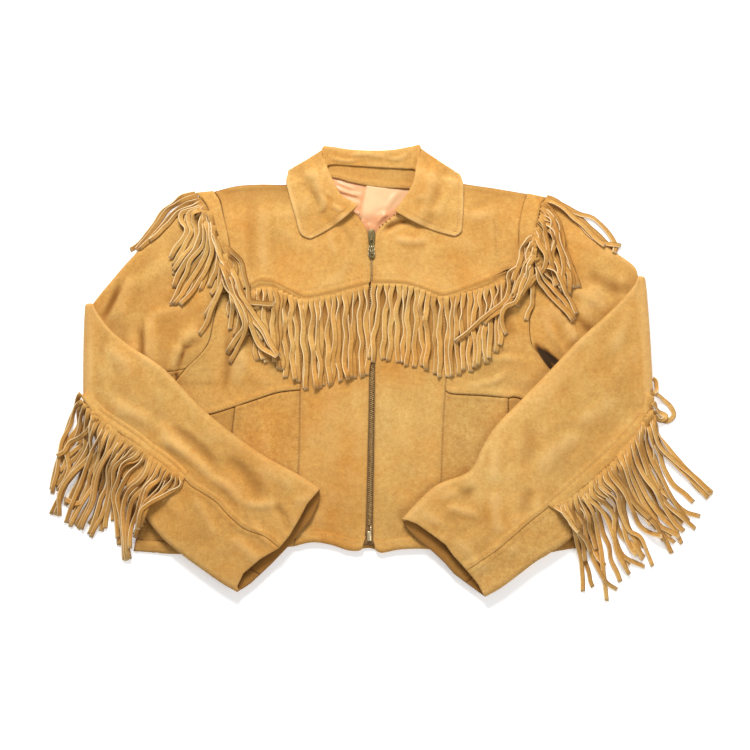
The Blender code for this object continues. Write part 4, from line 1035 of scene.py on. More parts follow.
def tooth_places():
    """The places of the meshed teeth, on both sides in turn, and then of the open ones."""
    for n in range(2 * int((TOOTH_FROM - TOOTH_TO) / TOOTH_PITCH)):
        x, y, level = zip_point(TOOTH_FROM - n * TOOTH_PITCH / 2)
        side = 1 if n % 2 else -1
        yield Matrix.Translation((x + side * TOOTH_OUT, y, level + TOOTH[2] / 2 - 0.1))
    for x, y in OPEN_TEETH:
        turn = Matrix.Rotation(OPEN_TURN if x < 0 else -OPEN_TURN, 4, "Z")
        yield Matrix.Translation((x, y, height_at(x, y) + SUEDE + 0.4)) @ turn


def make_teeth():
    tooth = mesh_of("tooth", block(TOOTH, 0.35))
    bm, places = bmesh.new(), list(tooth_places())
    for place in places:
        add_copy(bm, tooth, TO_METRES @ place)
    obj = finish_piece(mesh_of("zip_teeth", bm), worn_brass)
    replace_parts(obj, "zip_chain")
    print("teeth:", len(places))


make_tape()
make_teeth()

# %% Slider, pull and pin box
SLIDER_PLATE = [(-4.2, 8.6), (-3.7, 11.2), (-2.1, 12.6), (0, 13.0), (2.1, 12.6), (3.7, 11.2),
                (4.2, 8.6), (4.0, 4.5), (3.6, -1.5), (3.0, -4.6), (2.2, -5.4), (-2.2, -5.4),
                (-3.0, -4.6), (-3.6, -1.5), (-4.0, 4.5)]
PULL_OUTLINE = [(-2.2, -0.2), (-1.6, 0.25), (1.6, 0.25), (2.2, -0.2), (2.5, -5.4), (2.7, -7.4),
                (3.4, -11.0), (3.8, -16.0), (3.8, -20.0), (2.8, -22.4), (-2.8, -22.4),
                (-3.8, -20.0), (-3.8, -16.0), (-3.4, -11.0), (-2.7, -7.4), (-2.5, -5.4)]
# The eye is long enough for the pull to swing right over the bridge.
PULL_EYE = [(-1.55, -0.3), (-1.55, -5.3), (1.55, -5.3), (1.55, -0.3)]
PULL_HOLE = [(1.4 * math.cos(math.tau * n / 12), -19.2 - 1.4 * math.sin(math.tau * n / 12))
             for n in range(12)]
PULL_DIAMOND = [(0, -7.4, 0.55), (2.0, -12.0, 0.55), (0, -16.8, 0.55), (-2.0, -12.0, 0.55),
                (0, -7.4, 0.55)]
PULL_WALL, PULL_DROP, PULL_LENGTH = 1.1, 2.8, 22.0
PULL_HINGE = Vector((-0.000519, 0.170073, 0.01885))
CHAIN_TOP, SLIDER_GAP = 2.0, 0.35
PLATE_WALL, PLATE_RIM, PLATE_HEIGHTS = 0.95, 0.35, (0.55, 2.35)
BRIDGE_REACH, BRIDGE_RISE, BRIDGE_ROD = 4.6, 4.4, 0.65
BOX_Y, PIN_OUT, PIN_ROD = -199, 1.9, 0.7


def plate(name, outlines, wall, edge):
    """A flat plate with rounded rims: a filled curve outline with holes, made into a mesh."""
    curve = bpy.data.curves.new(name, "CURVE")
    curve.dimensions, curve.fill_mode = "2D", "BOTH"
    curve.extrude, curve.bevel_depth, curve.bevel_resolution = (wall / 2 - edge) * MM, edge * MM, 2
    for points in outlines:
        spline = curve.splines.new("POLY")
        spline.points.add(len(points) - 1)
        spline.use_cyclic_u = True
        for target, (x, y) in zip(spline.points, points):
            target.co = (x * MM, y * MM, 0, 1)
    guide = linked(name, curve)
    bpy.context.view_layer.update()
    graph = bpy.context.evaluated_depsgraph_get()
    mesh = bpy.data.meshes.new_from_object(guide.evaluated_get(graph))
    bpy.data.objects.remove(guide, do_unlink=True)
    bm = bmesh.new()
    bm.from_mesh(mesh)
    bmesh.ops.remove_doubles(bm, verts=bm.verts[:], dist=1e-6)
    return bm


def add_part(target, part, matrix):
    """Adds one bmesh to another, at its place, and lets it go."""
    add_copy(target, mesh_of("part", part), matrix)


def rod(bm, points, radius, segments=8):
    """A round rod through points, joined from short overlapping cylinders with ball joints."""
    for a, b in zip(points, points[1:]):
        a, b = Vector(a), Vector(b)
        turn = (b - a).to_track_quat("Z", "Y").to_matrix().to_4x4()
        place = TO_METRES @ Matrix.Translation((a + b) / 2) @ turn
        bmesh.ops.create_cone(bm, cap_ends=True, segments=segments, radius1=radius, radius2=radius,
                              depth=(b - a).length, matrix=place)
        bmesh.ops.create_uvsphere(bm, u_segments=segments, v_segments=6, radius=radius,
                                  matrix=TO_METRES @ Matrix.Translation(b))


print("slider plate:", len(SLIDER_PLATE), "corners, pull:", len(PULL_OUTLINE), "corners")

# %% Make the slider, the pull and the pin box


def make_slider():
    x, y, level = zip_point(PULL_HINGE.y / MM)
    base = level + CHAIN_TOP + SLIDER_GAP
    bm = bmesh.new()
    for height in PLATE_HEIGHTS:
        add_part(bm, plate("slider_plate", [SLIDER_PLATE], PLATE_WALL, PLATE_RIM),
                 Matrix.Translation(Vector((x, y, base + height)) * MM))
    for side in (-1, 1):
        add_part(bm, block((1.0, 13.0, 2.2), 0.3, Matrix.Rotation(-side * 0.05, 4, "Z")),
                 TO_METRES @ Matrix.Translation((x + side * 3.4, y + 3.5, base + 1.4)))
    add_part(bm, block((2.0, 3.0, 2.2), 0.4),
             TO_METRES @ Matrix.Translation((x, y + 10.4, base + 1.4)))
    arch = [(x, y + 1.7 + BRIDGE_REACH * math.cos(math.pi * n / 10),
             base + 2.3 + BRIDGE_RISE * math.sin(math.pi * n / 10)) for n in range(11)]
    rod(bm, arch, BRIDGE_ROD)
    obj = finish_piece(mesh_of("zip_slider_body", bm), antique_brass)
    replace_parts(obj, "zip_slider")


def hung(name, bm, finish):
    """A piece of the pull, sloping down from its hinge."""
    tilt = Matrix.Rotation(math.asin(PULL_DROP / PULL_LENGTH), 4, "X")
    bmesh.ops.transform(bm, matrix=Matrix.Translation(PULL_HINGE) @ tilt, verts=bm.verts[:])
    return finish_piece(mesh_of(name, bm), finish, body="pull_tab")


def make_pull():
    tab = plate("pull_plate", [PULL_OUTLINE, PULL_EYE, PULL_HOLE], PULL_WALL, PLATE_RIM)
    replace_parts(hung("zip_pull_tab", tab, antique_brass), "zip_pull")
    relief = bmesh.new()
    rod(relief, PULL_DIAMOND, 0.36, 6)
    for side in (-1, 1):
        rod(relief, [(side * (x + 0.05), y, 0.3) for x, y in PULL_OUTLINE[5:9]], 0.4, 6)
    hung("zip_pull_relief", relief, rubbed_brass)


def make_pin_box():
    x, y, level = zip_point(BOX_Y)
    bm = block((5.4, 12.0, 3.2), 0.8, Matrix.Translation((x, y - 1.5, level + 1.9)))
    bmesh.ops.transform(bm, matrix=TO_METRES, verts=bm.verts[:])
    rod(bm, [(x + PIN_OUT, y + reach, level + 2.4) for reach in (4, 11)], PIN_ROD)
    obj = finish_piece(mesh_of("zip_box_and_pin", bm), pale_brass)
    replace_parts(obj, "zip_pin_box")


make_slider()
make_pull()
make_pin_box()
print("the pull hangs from", round(PULL_HINGE.z / MM, 1), "mm up")


# %% [markdown]
# ## Fringe
# Each comb is a narrow strip with strands cut from its lower edge. One strand is a long bevelled
# box with cuts along its length; copies of it are bent along a path that starts straight down from
# the strip and wanders as it goes. A strand is a strip of suede, so it rolls over as it hangs,
# which shows its pale cut edge. One rim of each strand is painted paler still as a highlight and
# the other darker as painted shade. Each lies on what is already below it, read from the height
# map.

# %% The strand
STRAND_CUTS, RIM = 26, 0.3
STATIONS = evenly(STRAND_CUTS + 2)


def long_edges(bm):
    return [edge for edge in bm.edges if abs(edge.verts[0].co.y - edge.verts[1].co.y) > 0.5]


def make_strand():
    """A unit strand: across from -0.5 to 0.5, along from 0 to 1 and through from -0.5 to 0.5."""
    bm = bmesh.new()
    bmesh.ops.create_cube(bm, size=1, matrix=Matrix.Translation((0, 0.5, 0)))
    bmesh.ops.bevel(bm, geom=long_edges(bm), offset=0.07, offset_type="OFFSET", segments=1,
                    profile=0.5, affect="EDGES", material=-1)
    bmesh.ops.subdivide_edges(bm, edges=long_edges(bm), cuts=STRAND_CUTS, use_grid_fill=True)
    for rim in (-RIM, RIM):
        bmesh.ops.bisect_plane(bm, geom=bm.verts[:] + bm.edges[:] + bm.faces[:],
                               plane_co=(rim, 0, 0), plane_no=(1, 0, 0))
    return mesh_of("strand", bm)


strand_mesh = make_strand()
strand_points = points_of(strand_mesh)
print("one strand:", len(strand_points), "points")

# %% How a strand lies
HIGHEST, LIE_GAP = 37.0, 0.25
SETTLE_ROUNDS = 14


def settled(need):
    """Heights that never drop below need and bridge its hollows, as a strip of leather does."""
    z = need
    for _ in range(SETTLE_ROUNDS):
        near = z.copy()
        near[1:-1] = (z[:-2] + z[2:]) / 2
        z = np.maximum(need, 0.4 * z + 0.6 * near)
    return z


def strand_vertices(path, width, roll, slant, root=None):
    """Vertices of one strand that lies along a plan path. It is added to the pile."""
    run = np.gradient(path, axis=0)
    run /= np.linalg.norm(run, axis=1, keepdims=True)
    across = np.stack([-run[:, 1], run[:, 0]], axis=1)
    cos, sin = np.cos(roll), np.sin(roll)
    need = np.full(len(path), -1e9)
    for a in (-0.32, -0.16, 0, 0.16, 0.32):
        spot = path + across * (a * width * cos)[:, None]
        lower = a * width * sin - STRAP / 2 * cos
        need = np.maximum(need, pile_at(spot) + LIE_GAP - lower)
    z = np.minimum(settled(need), HIGHEST)
    if root is not None:
        z = np.minimum(z, root + 0.6 + 11 * smooth_step((STATIONS - 0.03) / 0.16))
    a, t, h = strand_points.T
    t = np.clip(t + slant * a * (t > 0.99), 0, 1)

    def at(values):
        return np.interp(t, STATIONS, values)

    w, c, s = at(width), at(cos), at(sin)
    # A little curl across the strand keeps it from looking like card.
    h = h * STRAP + 0.9 * (a * 2) ** 2 * at(np.sin(3 * STATIONS)) * 0.5
    level = a * w * c - h * s
    x = at(path[:, 0]) + at(across[:, 0]) * level
    y = at(path[:, 1]) + at(across[:, 1]) * level
    top = np.maximum(at(z) + a * w * s + h * c, 0.05)
    fine = evenly(4 * len(path))
    for share in (-0.3, -0.15, 0, 0.15, 0.3):
        spot = path + across * (share * width * cos)[:, None]
        rise = z + share * width * sin + STRAP / 2 * np.abs(cos)
        line = np.stack([np.interp(fine, STATIONS, row) for row in (*spot.T, rise)], axis=1)
        np.maximum.at(pile, cells_of(line), line[:, 2])
    return np.stack([x, y, top], axis=1)


print("a strand stays below", HIGHEST, "mm")

# %% Its path, its roll and many in one mesh


def wander(random, start, way, length, sway, turn):
    """A plan path: it leaves in its way, in degrees from straight down, and waves as it goes."""
    way = math.radians(way)
    heading = way + math.radians(turn) * smooth_step(STATIONS)
    wave = sum(size * np.sin(math.tau * (cycles * random.uniform(0.8, 1.25) * STATIONS
                                         + random.random()))
               for cycles, size in ((1.0, 1.1), (2.1, 1.25), (3.6, 0.5)))
    wave = sway * (wave - wave[0]) * smooth_step(STATIONS / 0.12)
    step = length / (len(STATIONS) - 1)
    across, down = (np.concatenate([[0], np.cumsum(part(heading[:-1]) * step)])
                    for part in (np.sin, np.cos))
    x, y = across + wave * math.cos(way), down - wave * math.sin(way)
    return np.stack([start[0] + x, start[1] - y], axis=1)


def roll_of(random):
    """How a strand turns about its own length: most of it just below the root."""
    t = STATIONS
    side = -1 if random.random() < 0.8 else 1
    peak, rest = math.radians(random.uniform(15, 62)), math.radians(random.uniform(10, 27))
    at, spread = random.uniform(0.1, 0.3), random.uniform(0.07, 0.16)
    wave = math.radians(13) * np.sin(math.tau * (random.uniform(1.0, 2.2) * t + random.random()))
    return side * (peak * np.exp(-((t - at) / spread) ** 2) + rest * smooth_step(t / 0.3)
                   + wave * smooth_step(t / 0.25)) * smooth_step(t / 0.06)


def join_strands(name, strands, tints):
    """One mesh of many strands, each given by its vertices."""
    mesh = repeated(name, strand_mesh, len(strands))
    set_points(mesh, np.concatenate(strands))
    across, along_strand, through = strand_points.T
    # One rim of each strand shows its pale cut edge, made paler as a painted highlight; the other
    # rim is painted shade. The underside is darker, and the tip shows its cut end.
    lit_cut_rim = np.where(across < -0.42, 0.85, np.where(across < -RIM - 0.02, 0.3, 0.0))
    dark = np.where(across > 0.42, 0.75, np.where(across > RIM + 0.02, 0.3, 0.0))
    tip = smooth_step((along_strand - 0.975) / 0.025) * 0.5
    away = smooth_step((along_strand - 0.02) / 0.05)
    shown = lit_cut_rim * away + tip * (1 - lit_cut_rim)
    set_attribute(mesh, "cut", np.concatenate(
        [shown * (0.78 + 0.22 * math.sin(1.7 * n)) for n in range(len(strands))]))
    shade = 0.2 * (through < 0) + dark * away
    set_attribute(mesh, "tone", np.concatenate([np.clip(shade + tint, 0, 1) for tint in tints]))
    mesh.update()
    return finish_piece(mesh, suede)


print("stations along a strand:", len(STATIONS))

# %% One comb
STRIP_GAP, OVERLAP, STRAND_WIDTH = 0.4, 3.0, 6.8
# How far a strand waves, and how many degrees it turns and may lean.
SWAY, TURN, LEAN = 0.9, 3, 0.8


def neighbour_mean(z):
    """The mean of the four heights round each."""
    padded = np.pad(z, 1, mode="edge")
    return (padded[:-2, 1:-1] + padded[2:, 1:-1] + padded[1:-1, :-2] + padded[1:-1, 2:]) / 4


def comb(side, table, seed):
    """A strip and its strands. The table gives the root line, and rows that are read along it."""
    random = Random(seed)
    name, root = f"fringe_yoke_{side}", curve_through(table["root"])

    def read(row, share):
        return np.interp(share, table["at"], table[row])

    shares = evenly(90)
    top, depths, ways = along(root, shares), read("depth", shares), np.radians(read("way", shares))
    foot = top + np.stack([np.sin(ways), -np.cos(ways)], axis=1) * depths[:, None]
    down_shares = np.linspace(1, 0, max(6, int(depths.max() / 1.2)))
    plan = np.array([top * (1 - v) + foot * v for v in down_shares])
    need = pile_at(plan, reach=2) + STRIP_GAP + SUEDE / 2
    for _ in range(12):
        need = np.maximum(need, 0.5 * need + 0.5 * neighbour_mean(need))
    grid = np.dstack([plan, need])
    stamp(grid, SUEDE / 2 - 1.6)
    strands, tints = [], []
    for n in range(table["count"]):
        middle = (n + 0.5) / table["count"]
        way, depth = read("way", middle), read("depth", middle)
        length = read("length", middle) * random.uniform(0.965, 1.03)
        down = np.array([math.sin(math.radians(way)), -math.cos(math.radians(way))])
        start = along(root, [middle])[0] + down * (depth - OVERLAP)
        way += random.uniform(-1, 1) * LEAN
        path = wander(random, start, way, length + OVERLAP, SWAY, random.uniform(-1, 1) * TURN)
        width = STRAND_WIDTH * random.uniform(0.93, 1.05) * (
            1 + 0.05 * np.sin(math.tau * (STATIONS * random.uniform(0.8, 2) + random.random())))
        roll = roll_of(random)
        strands.append(strand_vertices(path, width, roll, random.uniform(-0.02, 0.02)))
        tints.append(random.gauss(0.07, 0.10))
    stamp(grid, SUEDE / 2)
    grid[..., 2] -= 0.9 * fade((1 - down_shares)[:, None] * depths[None], 2.4)
    # Painted shadow of the yoke's edge across the top of the strip.
    yoke_edge_shadow = fade(down_shares[:, None] * depths[None] - 2.4, 0.8)
    strip = cloth(f"{name}_strip", grid, tone=0.45 * yoke_edge_shadow)
    fringe = join_strands(f"{name}_strands", strands, tints)
    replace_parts(fringe, name)
    declare(strip, grid)
    print(name, "strands:", len(strands))


# %% Yoke fringe
YOKE_FRINGE = {
    "left": {
        "root": [(-4, 118), (-28, 112), (-56, 105), (-84, 101), (-104, 110), (-122, 119),
                 (-139, 121), (-152, 116)],
        "at": (0, 0.3, 0.5, 0.68, 1), "depth": (7, 7.5, 7.5, 11, 14),
        "length": (107, 106, 111, 104, 82), "way": (0, 1, 1, 2, 3), "count": 22,
    },
    "right": {
        "root": [(-1, 119), (39, 118), (65, 111), (89, 103), (117, 111), (144, 121), (168, 131)],
        "at": (0, 0.3, 0.55, 0.8, 1), "depth": (6.5, 6.5, 6.5, 11, 13),
        "length": (93, 96, 96, 95, 78), "way": (-5, 0, 1, 0, -4), "count": 23,
    },
}
for seed, side in enumerate(SIDES):
    comb(side, YOKE_FRINGE[side], seed)


# %% [markdown]
# ## Sleeves
# Each sleeve is a flattened tube that leaves the armhole, folds over at the elbow and comes back
# across the body. It is worked out as sections: two layers between an outer and an inner edge, with
# a profile that is round at the edges and nearly flat between. The two pieces that are sewn into
# the tube, top sleeve and under sleeve, are cut from those sections at the seams' places.

# %% Sleeve tables
# The outer (a) and inner (b) edges above and below the elbow fold; the seams' shares of the
# width; and how far each layer's end stands out past a straight cuff, as (share, distance).
SLEEVES = {
    "left": {
        "upper_a": [(-198, 231), (-221, 222), (-245, 202), (-270, 180), (-305, 144), (-335, 109),
                    (-350, 90)],
        "upper_b": [(-250, -11), (-285, -20), (-320, -29), (-352, -36)],
        "fore_a": [(-350, 90), (-341, 75), (-326, 56), (-301, 36), (-262, 10), (-224, -30),
                   (-205, -48), (-175, -72), (-135, -100), (-91, -124), (-66, -140)],
        "fore_b": [(-352, -36), (-343, -73), (-322, -113), (-297, -155), (-276, -186),
                   (-258, -206), (-233, -226), (-208, -244), (-188, -258), (-169, -269)],
        "tone": (0.16, 0.05),
        "fore_seam": [(-362, -22), (-341, -45), (-320, -60), (-292, -79), (-275, -93), (-257, -106),
                      (-240, -121), (-226, -136), (-210, -146), (-194, -157), (-177, -175),
                      (-160, -189), (-140, -195), (-126, -205), (-115, -214)],
        "outward": -1,
        "over": [(0, 0), (0.15, -1), (0.27, 3), (0.42, 6.5), (0.54, 6), (0.70, -4), (0.86, -9),
                 (0.97, -5), (1, 0)],
        "under": [(0, 0), (0.09, 9), (0.22, 15), (0.45, 14.5), (0.68, 11), (0.89, 6), (1, 0)],
    },
    "right": {
        "upper_a": [(195, 228), (222, 222), (238, 210), (255, 196), (272, 178), (300, 158),
                    (328, 138), (333, 124)],
        "upper_b": [(250, -11), (285, -20), (317, -30), (343, -36)],
        "fore_a": [(333, 124), (326, 110), (299, 81), (259, 45), (222, 6), (189, -28),
                   (156, -62), (138, -90), (122, -119), (82, -136), (59, -156), (38, -178)],
        "fore_b": [(343, -36), (337, -76), (314, -122), (283, -165), (251, -200), (222, -221),
                   (204, -232), (179, -251), (160, -265), (142, -275)],
        "tone": (0.07, 0.03),
        "fore_seam": [(345, -22), (341, -40), (327, -60), (305, -84), (285, -104), (262, -125),
                      (243, -142), (220, -163), (196, -182), (172, -203), (146, -225), (123, -241)],
        "outward": 1,
        "over": [(0, 0), (0.03, -4), (0.12, -9), (0.27, -12), (0.43, -14.5), (0.55, -11),
                 (0.65, -10), (0.755, -8.4), (0.88, -6), (1, 0)],
        "under": [(0, 0), (0.085, 4), (0.23, 4.8), (0.38, 3), (0.54, 3), (0.665, 5.2), (0.83, 2.6),
                  (1, 0)],
    },
}
BACK_SEAM = {"armhole": 0.79, "elbow": 0.95}
FRONT_SEAM = {"armhole": 0.905, "elbow": 0.75, "cuff": 0.80}
UPPER_ROWS, FOLD_ROWS, FORE_ROWS = 58, 14, 100
LAYER_COLUMNS = 50
CUFF_FADE, ARMHOLE_GAP = 0.26, 0.8
# Creases of the visible layers, as on the body. The shade rows are painted shade in the deep gaps
# and creases of the upper arm.
SLEEVE_CREASES = {
    "left": {
        "upper": [(-332, 68, -304, 128, -3, 13, 4.5, 1), (-342, 66, -316, 122, -3, 8, -4.0),
                  (-281, 16, -280, 77, 2, 13, 4.2, 1), (-279, 78, -232, 88, 2, 12, 3.6, 1),
                  (-216, 56, -240, 40, 2, 12, 4.4, 1), (-240, 42, -247, 0, 2, 11, 4.4, 1),
                  (-243, 2, -236, 32, 2, 6, -4.5), (-238, 32, -204, 46, 2, 6, -3.5),
                  (-290, 60, -290, 14, 2, 8, -2.5),
                  (-300, 60, -304, 6, 3, 12, 1.8), (-320, 40, -336, -10, -3, 12, 1.6),
                  (-252, 150, -300, 112, 3, 18, 1.6), (-240, 176, -222, 132, -4, 12, 1.4),
                  (-270, -10, -300, 14, 4, 9, -1.6), (-225, 140, -205, 60, 5, 12, 1.4)],
        "shade": [(-246, 6, -243, -10, 0, 4, 1.3), (-243, 4, -234, 33, 2, 5, 0.35),
                  (-342, 68, -318, 112, -3, 8, 0.25), (-288, 70, -290, 12, 2, 6, 0.15)],
        "fore": [(-268, -76, -198, -128, 5, 11, 3.6), (-200, -126, -160, -164, 5, 10, 3.0),
                 (-250, -64, -192, -116, 5, 10, -2.8), (-204, -66, -130, -106, 3, 15, 2.6),
                 (-160, -158, -118, -158, -3, 9, 2.6),
                 (-322, -30, -272, -56, -3, 14, 2.6), (-272, -56, -234, -104, 4, 14, 2.4),
                 (-184, -100, -136, -156, 6, 17, -4.2), (-120, -160, -104, -196, 3, 8, -3.2),
                 (-330, 40, -300, -10, 5, 16, 2.2), (-338, -10, -310, -60, 3, 14, 1.6),
                 (-290, 10, -250, -30, -4, 16, 1.4), (-230, -40, -190, -80, 3, 14, 1.6),
                 (-140, -110, -96, -140, 2, 12, 1.8), (-180, -200, -140, -236, 4, 12, 1.8),
                 (-225, -150, -196, -204, 4, 12, 1.6), (-256, -130, -236, -180, -4, 12, 1.4),
                 (-330, 66, -344, 20, 2, 8, -1.8), (-306, -104, -270, -140, 0, 10, 1.3),
                 (-98, -156, -72, -150, 0, 9, 1.4), (-150, -180, -128, -214, 2, 8, 1.6)],
    },
    "right": {
        "upper": [(290, 122, 262, 62, -5, 17, 2.4), (250, 150, 226, 96, 4, 12, 2.2),
                  (270, 128, 324, 106, -4, 14, -3.6), (248, 109, 292, 84, 2, 9, 3.0),
                  (252, 78, 280, 50, 0, 10, -3.4), (216, 100, 247, 68, -2, 13, 4.2, 1),
                  (247, 69, 258, 42, -1, 11, 4.0, 1),
                  (207, 112, 226, 84, -3, 8, -2.5), (204, 104, 236, 40, -4, 9, 2.4),
                  (203, 38, 232, 14, 0, 8, -9.0), (312, 128, 322, 84, -3, 10, 2.0),
                  (238, 44, 254, 12, -3, 8, 2.2), (240, 180, 280, 158, 3, 12, 1.5)],
        "shade": [(203, 42, 231, 2, -1, 6, 2.2), (211, 36, 237, 6, 1, 7, 1.8),
                  (221, 26, 240, 12, 1, 4, 1.6),
                  (272, 126, 322, 106, -4, 12, 0.12), (254, 76, 278, 52, 0, 9, 0.25),
                  (226, 62, 246, 36, 0, 9, 0.2)],
        "fore": [(318, 96, 300, 30, 6, 18, 2.6), (330, 70, 336, 0, -4, 12, 2.2),
                 (296, 76, 236, 24, -3, 16, 1.8), (300, -20, 250, -60, 5, 18, 2.2),
                 (240, 10, 196, -34, 3, 16, 1.6), (262, -70, 206, -120, -6, 18, 2.4),
                 (160, -68, 152, -140, -4, 14, 3.0), (154, -140, 160, -200, -3, 13, 3.0),
                 (94, -130, 128, -150, 0, 15, -3.2), (92, -162, 134, -174, 0, 9, 2.2),
                 (198, -140, 184, -176, 3, 13, -2.6), (200, -60, 180, -120, 5, 18, -1.8),
                 (322, -40, 296, -100, 4, 16, 1.8), (216, -150, 166, -200, -4, 16, 1.8),
                 (130, -128, 84, -152, 0, 12, 1.8), (110, -170, 72, -196, 3, 14, -1.8),
                 (160, -200, 130, -246, 3, 12, 1.6), (270, -130, 240, -172, 3, 12, -1.4),
                 (98, -200, 134, -240, 3, 10, 1.4), (60, -166, 100, -190, -3, 9, 1.3)],
    },
}


print("creases on the sleeves:", sum(len(rows) for side in SIDES
                                     for rows in SLEEVE_CREASES[side].values()))

# %% The upper arm and the fold


def tube_profile(share, width, half):
    """Half thickness of a flattened tube across its width, as a share of the thickest."""
    from_edge = np.minimum(share, 1 - share) * width / half
    rounded = np.sqrt(np.maximum(0.0, 1 - (1 - np.minimum(from_edge, 1.0)) ** 2))
    return rounded * (0.7 + 0.3 * (1 - np.abs(2 * share - 1) ** 2.4))


def seam_place(table, start, end, t):
    """A seam's share of the width, part of the way between two of its places."""
    return table[start] + (table[end] - table[start]) * smooth_step(t)


def both_ends(count):
    """Shares from 0 to 1, close together near both ends, as round a tube's edge and at a seam."""
    return (1 - np.cos(np.pi * evenly(count))) / 2


def between(a, b, shares):
    """Points at these shares of the way from a to b."""
    return a * (1 - shares[..., None]) + b * shares[..., None]


def upper_layer(side, sleeve, t, shares, is_front):
    """Points of one layer, rows t by shares, from the armhole to the elbow fold."""
    a = along(curve_through(sleeve["upper_a"]), t)[:, None]
    b = along(curve_through(sleeve["upper_b"]), t)[:, None]
    armhole = curve_through(ARMHOLE[side])
    bow = along(armhole, shares.reshape(-1)).reshape(*shares.shape, 2)
    bow = bow - between(armhole[0], armhole[-1], shares)
    keep = (1 - smooth_step(t))[:, None, None]
    plan = between(a, b, shares) + bow * keep
    plan = plan + np.array([sleeve["outward"] * 0.9, 0.3]) * ARMHOLE_GAP * (t == 0)[:, None, None]
    width = np.linalg.norm(b - a, axis=-1)
    room = (ARM_ROOM + (FOLD_ROOM - ARM_ROOM) * smooth_step(t * 1.6 - 0.6))[:, None]
    keep = keep[..., 0]
    profile = tube_profile(shares, width, room / 2)
    arch = np.sin(np.pi * shares) ** 0.7 * keep + profile * (1 - keep)
    edge = SUEDE / 2 + SIDE_ROOM / 2 * np.abs(2 * shares - 1) ** 14
    if not is_front:
        return np.dstack([plan, edge])
    level = SUEDE / 2 + SIDE_ROOM + (room - SIDE_ROOM) * arch
    inside = np.minimum(1.0, 6 * np.minimum(shares, 1 - shares)) * smooth_step(t * 4)[:, None]
    folds = crease_relief(plan[..., 0], plan[..., 1], SLEEVE_CREASES[side]["upper"])
    folds += 0.4 * unevenness(plan[..., 0], plan[..., 1], 42, 11 + SIDES.index(side))
    level = level + folds * inside * smooth_step((1 - t) * 5)[:, None]
    end = np.clip(1 - np.minimum(shares, 1 - shares) / 0.0015, 0, 1)
    return np.dstack([plan, level * (1 - end) + (level + edge) / 2 * end])


def fold_layer(sleeve, steps, shares, is_front):
    """Points of one layer where the tube turns over on itself."""
    a, b = np.array(sleeve["upper_a"][-1], float), np.array(sleeve["upper_b"][-1], float)
    half = FOLD_ROOM / 2
    radius, centre = half + SUEDE / 2 + 0.9, SUEDE / 2 + half
    width = np.linalg.norm(b - a)
    angle = (np.pi * steps)[:, None]
    offset = half * tube_profile(shares, width, half) * (1 if is_front else -1)
    plan = between(a, b, shares)
    out = radius * np.sin(angle) - offset * np.sin(angle)
    level = centre + radius - radius * np.cos(angle) + offset * np.cos(angle)
    return np.dstack([plan[..., 0] + sleeve["outward"] * out, plan[..., 1], level])


print("a quarter of the way in, the tube has", tube_profile(np.array([0.25]), 140, 6).round(2),
      "of its full thickness")

# %% The forearm's rest


def eased(z, need, rounds, own=0.5, fixed_first=False):
    """Heights eased towards their neighbours' mean and never below need."""
    first = z[0].copy()
    for _ in range(rounds):
        z = np.maximum(need, own * z + (1 - own) * neighbour_mean(z))
        if fixed_first:
            z[0] = first
    return z


def fore_edges(sleeve, t):
    """The forearm's outer and inner edge, at these shares of their lengths."""
    return (along(curve_through(sleeve["fore_a"]), t)[:, None],
            along(curve_through(sleeve["fore_b"]), t)[:, None])


def cuff_shift(sleeve, layer, t, shares):
    """How far points move along the forearm so that the layer's end follows its own line."""
    near = smooth_step((t - 1 + CUFF_FADE) / CUFF_FADE)[:, None]
    return np.interp(shares, *np.array(sleeve[layer], float).T) * near


def fore_plan(sleeve, t, shares, layer):
    """Plan points of one layer of the forearm."""
    a, b = fore_edges(sleeve, t)
    a_end, b_end = fore_edges(sleeve, np.array([1.0]))
    cuff = (b_end - a_end)[0, 0]
    outward = np.array([-cuff[1], cuff[0]]) / np.linalg.norm(cuff)
    if sleeve["outward"] > 0:
        outward = -outward
    return between(a, b, shares) + outward * cuff_shift(sleeve, layer, t, shares)[..., None]


def forearm_rest(sleeve, fold_level):
    """Heights of the forearm's underside middle surface, on an even grid of t and share."""
    t, share = evenly(72), evenly(44)
    shares = np.tile(share, (len(t), 1))
    plan = fore_plan(sleeve, t, shares, "under")
    need = pile_at(plan, reach=3) + DRAPE_GAP + SUEDE / 2
    rough = need[::6, ::4].copy()
    rough[0] = np.interp(share[::4], share, fold_level(share))
    rough = eased(rough, need[::6, ::4], 26, own=0.35, fixed_first=True)
    z = finer(rough[..., None], len(t), len(share[::4]))
    full = np.array([np.interp(share, share[::4], row) for row in z[..., 0]])
    full[0] = fold_level(share)
    need[0] = full[0]
    return t, share, eased(np.maximum(full, need), need, 30, fixed_first=True)


def read_grid(t, share, values, at_t, at_share):
    """Straight-line reading of a grid of values."""
    row = np.clip(np.interp(at_t, t, np.arange(len(t))), 0, len(t) - 1.001)
    column = np.clip(np.interp(at_share, share, np.arange(len(share))), 0, len(share) - 1.001)
    i, j = row.astype(int), column.astype(int)
    u, v = row - i, column - j
    return ((values[i, j] * (1 - u) + values[i + 1, j] * u) * (1 - v)
            + (values[i, j + 1] * (1 - u) + values[i + 1, j + 1] * u) * v)


print("the forearm clears what is below by", DRAPE_GAP, "mm")

# %% Layers of the forearm


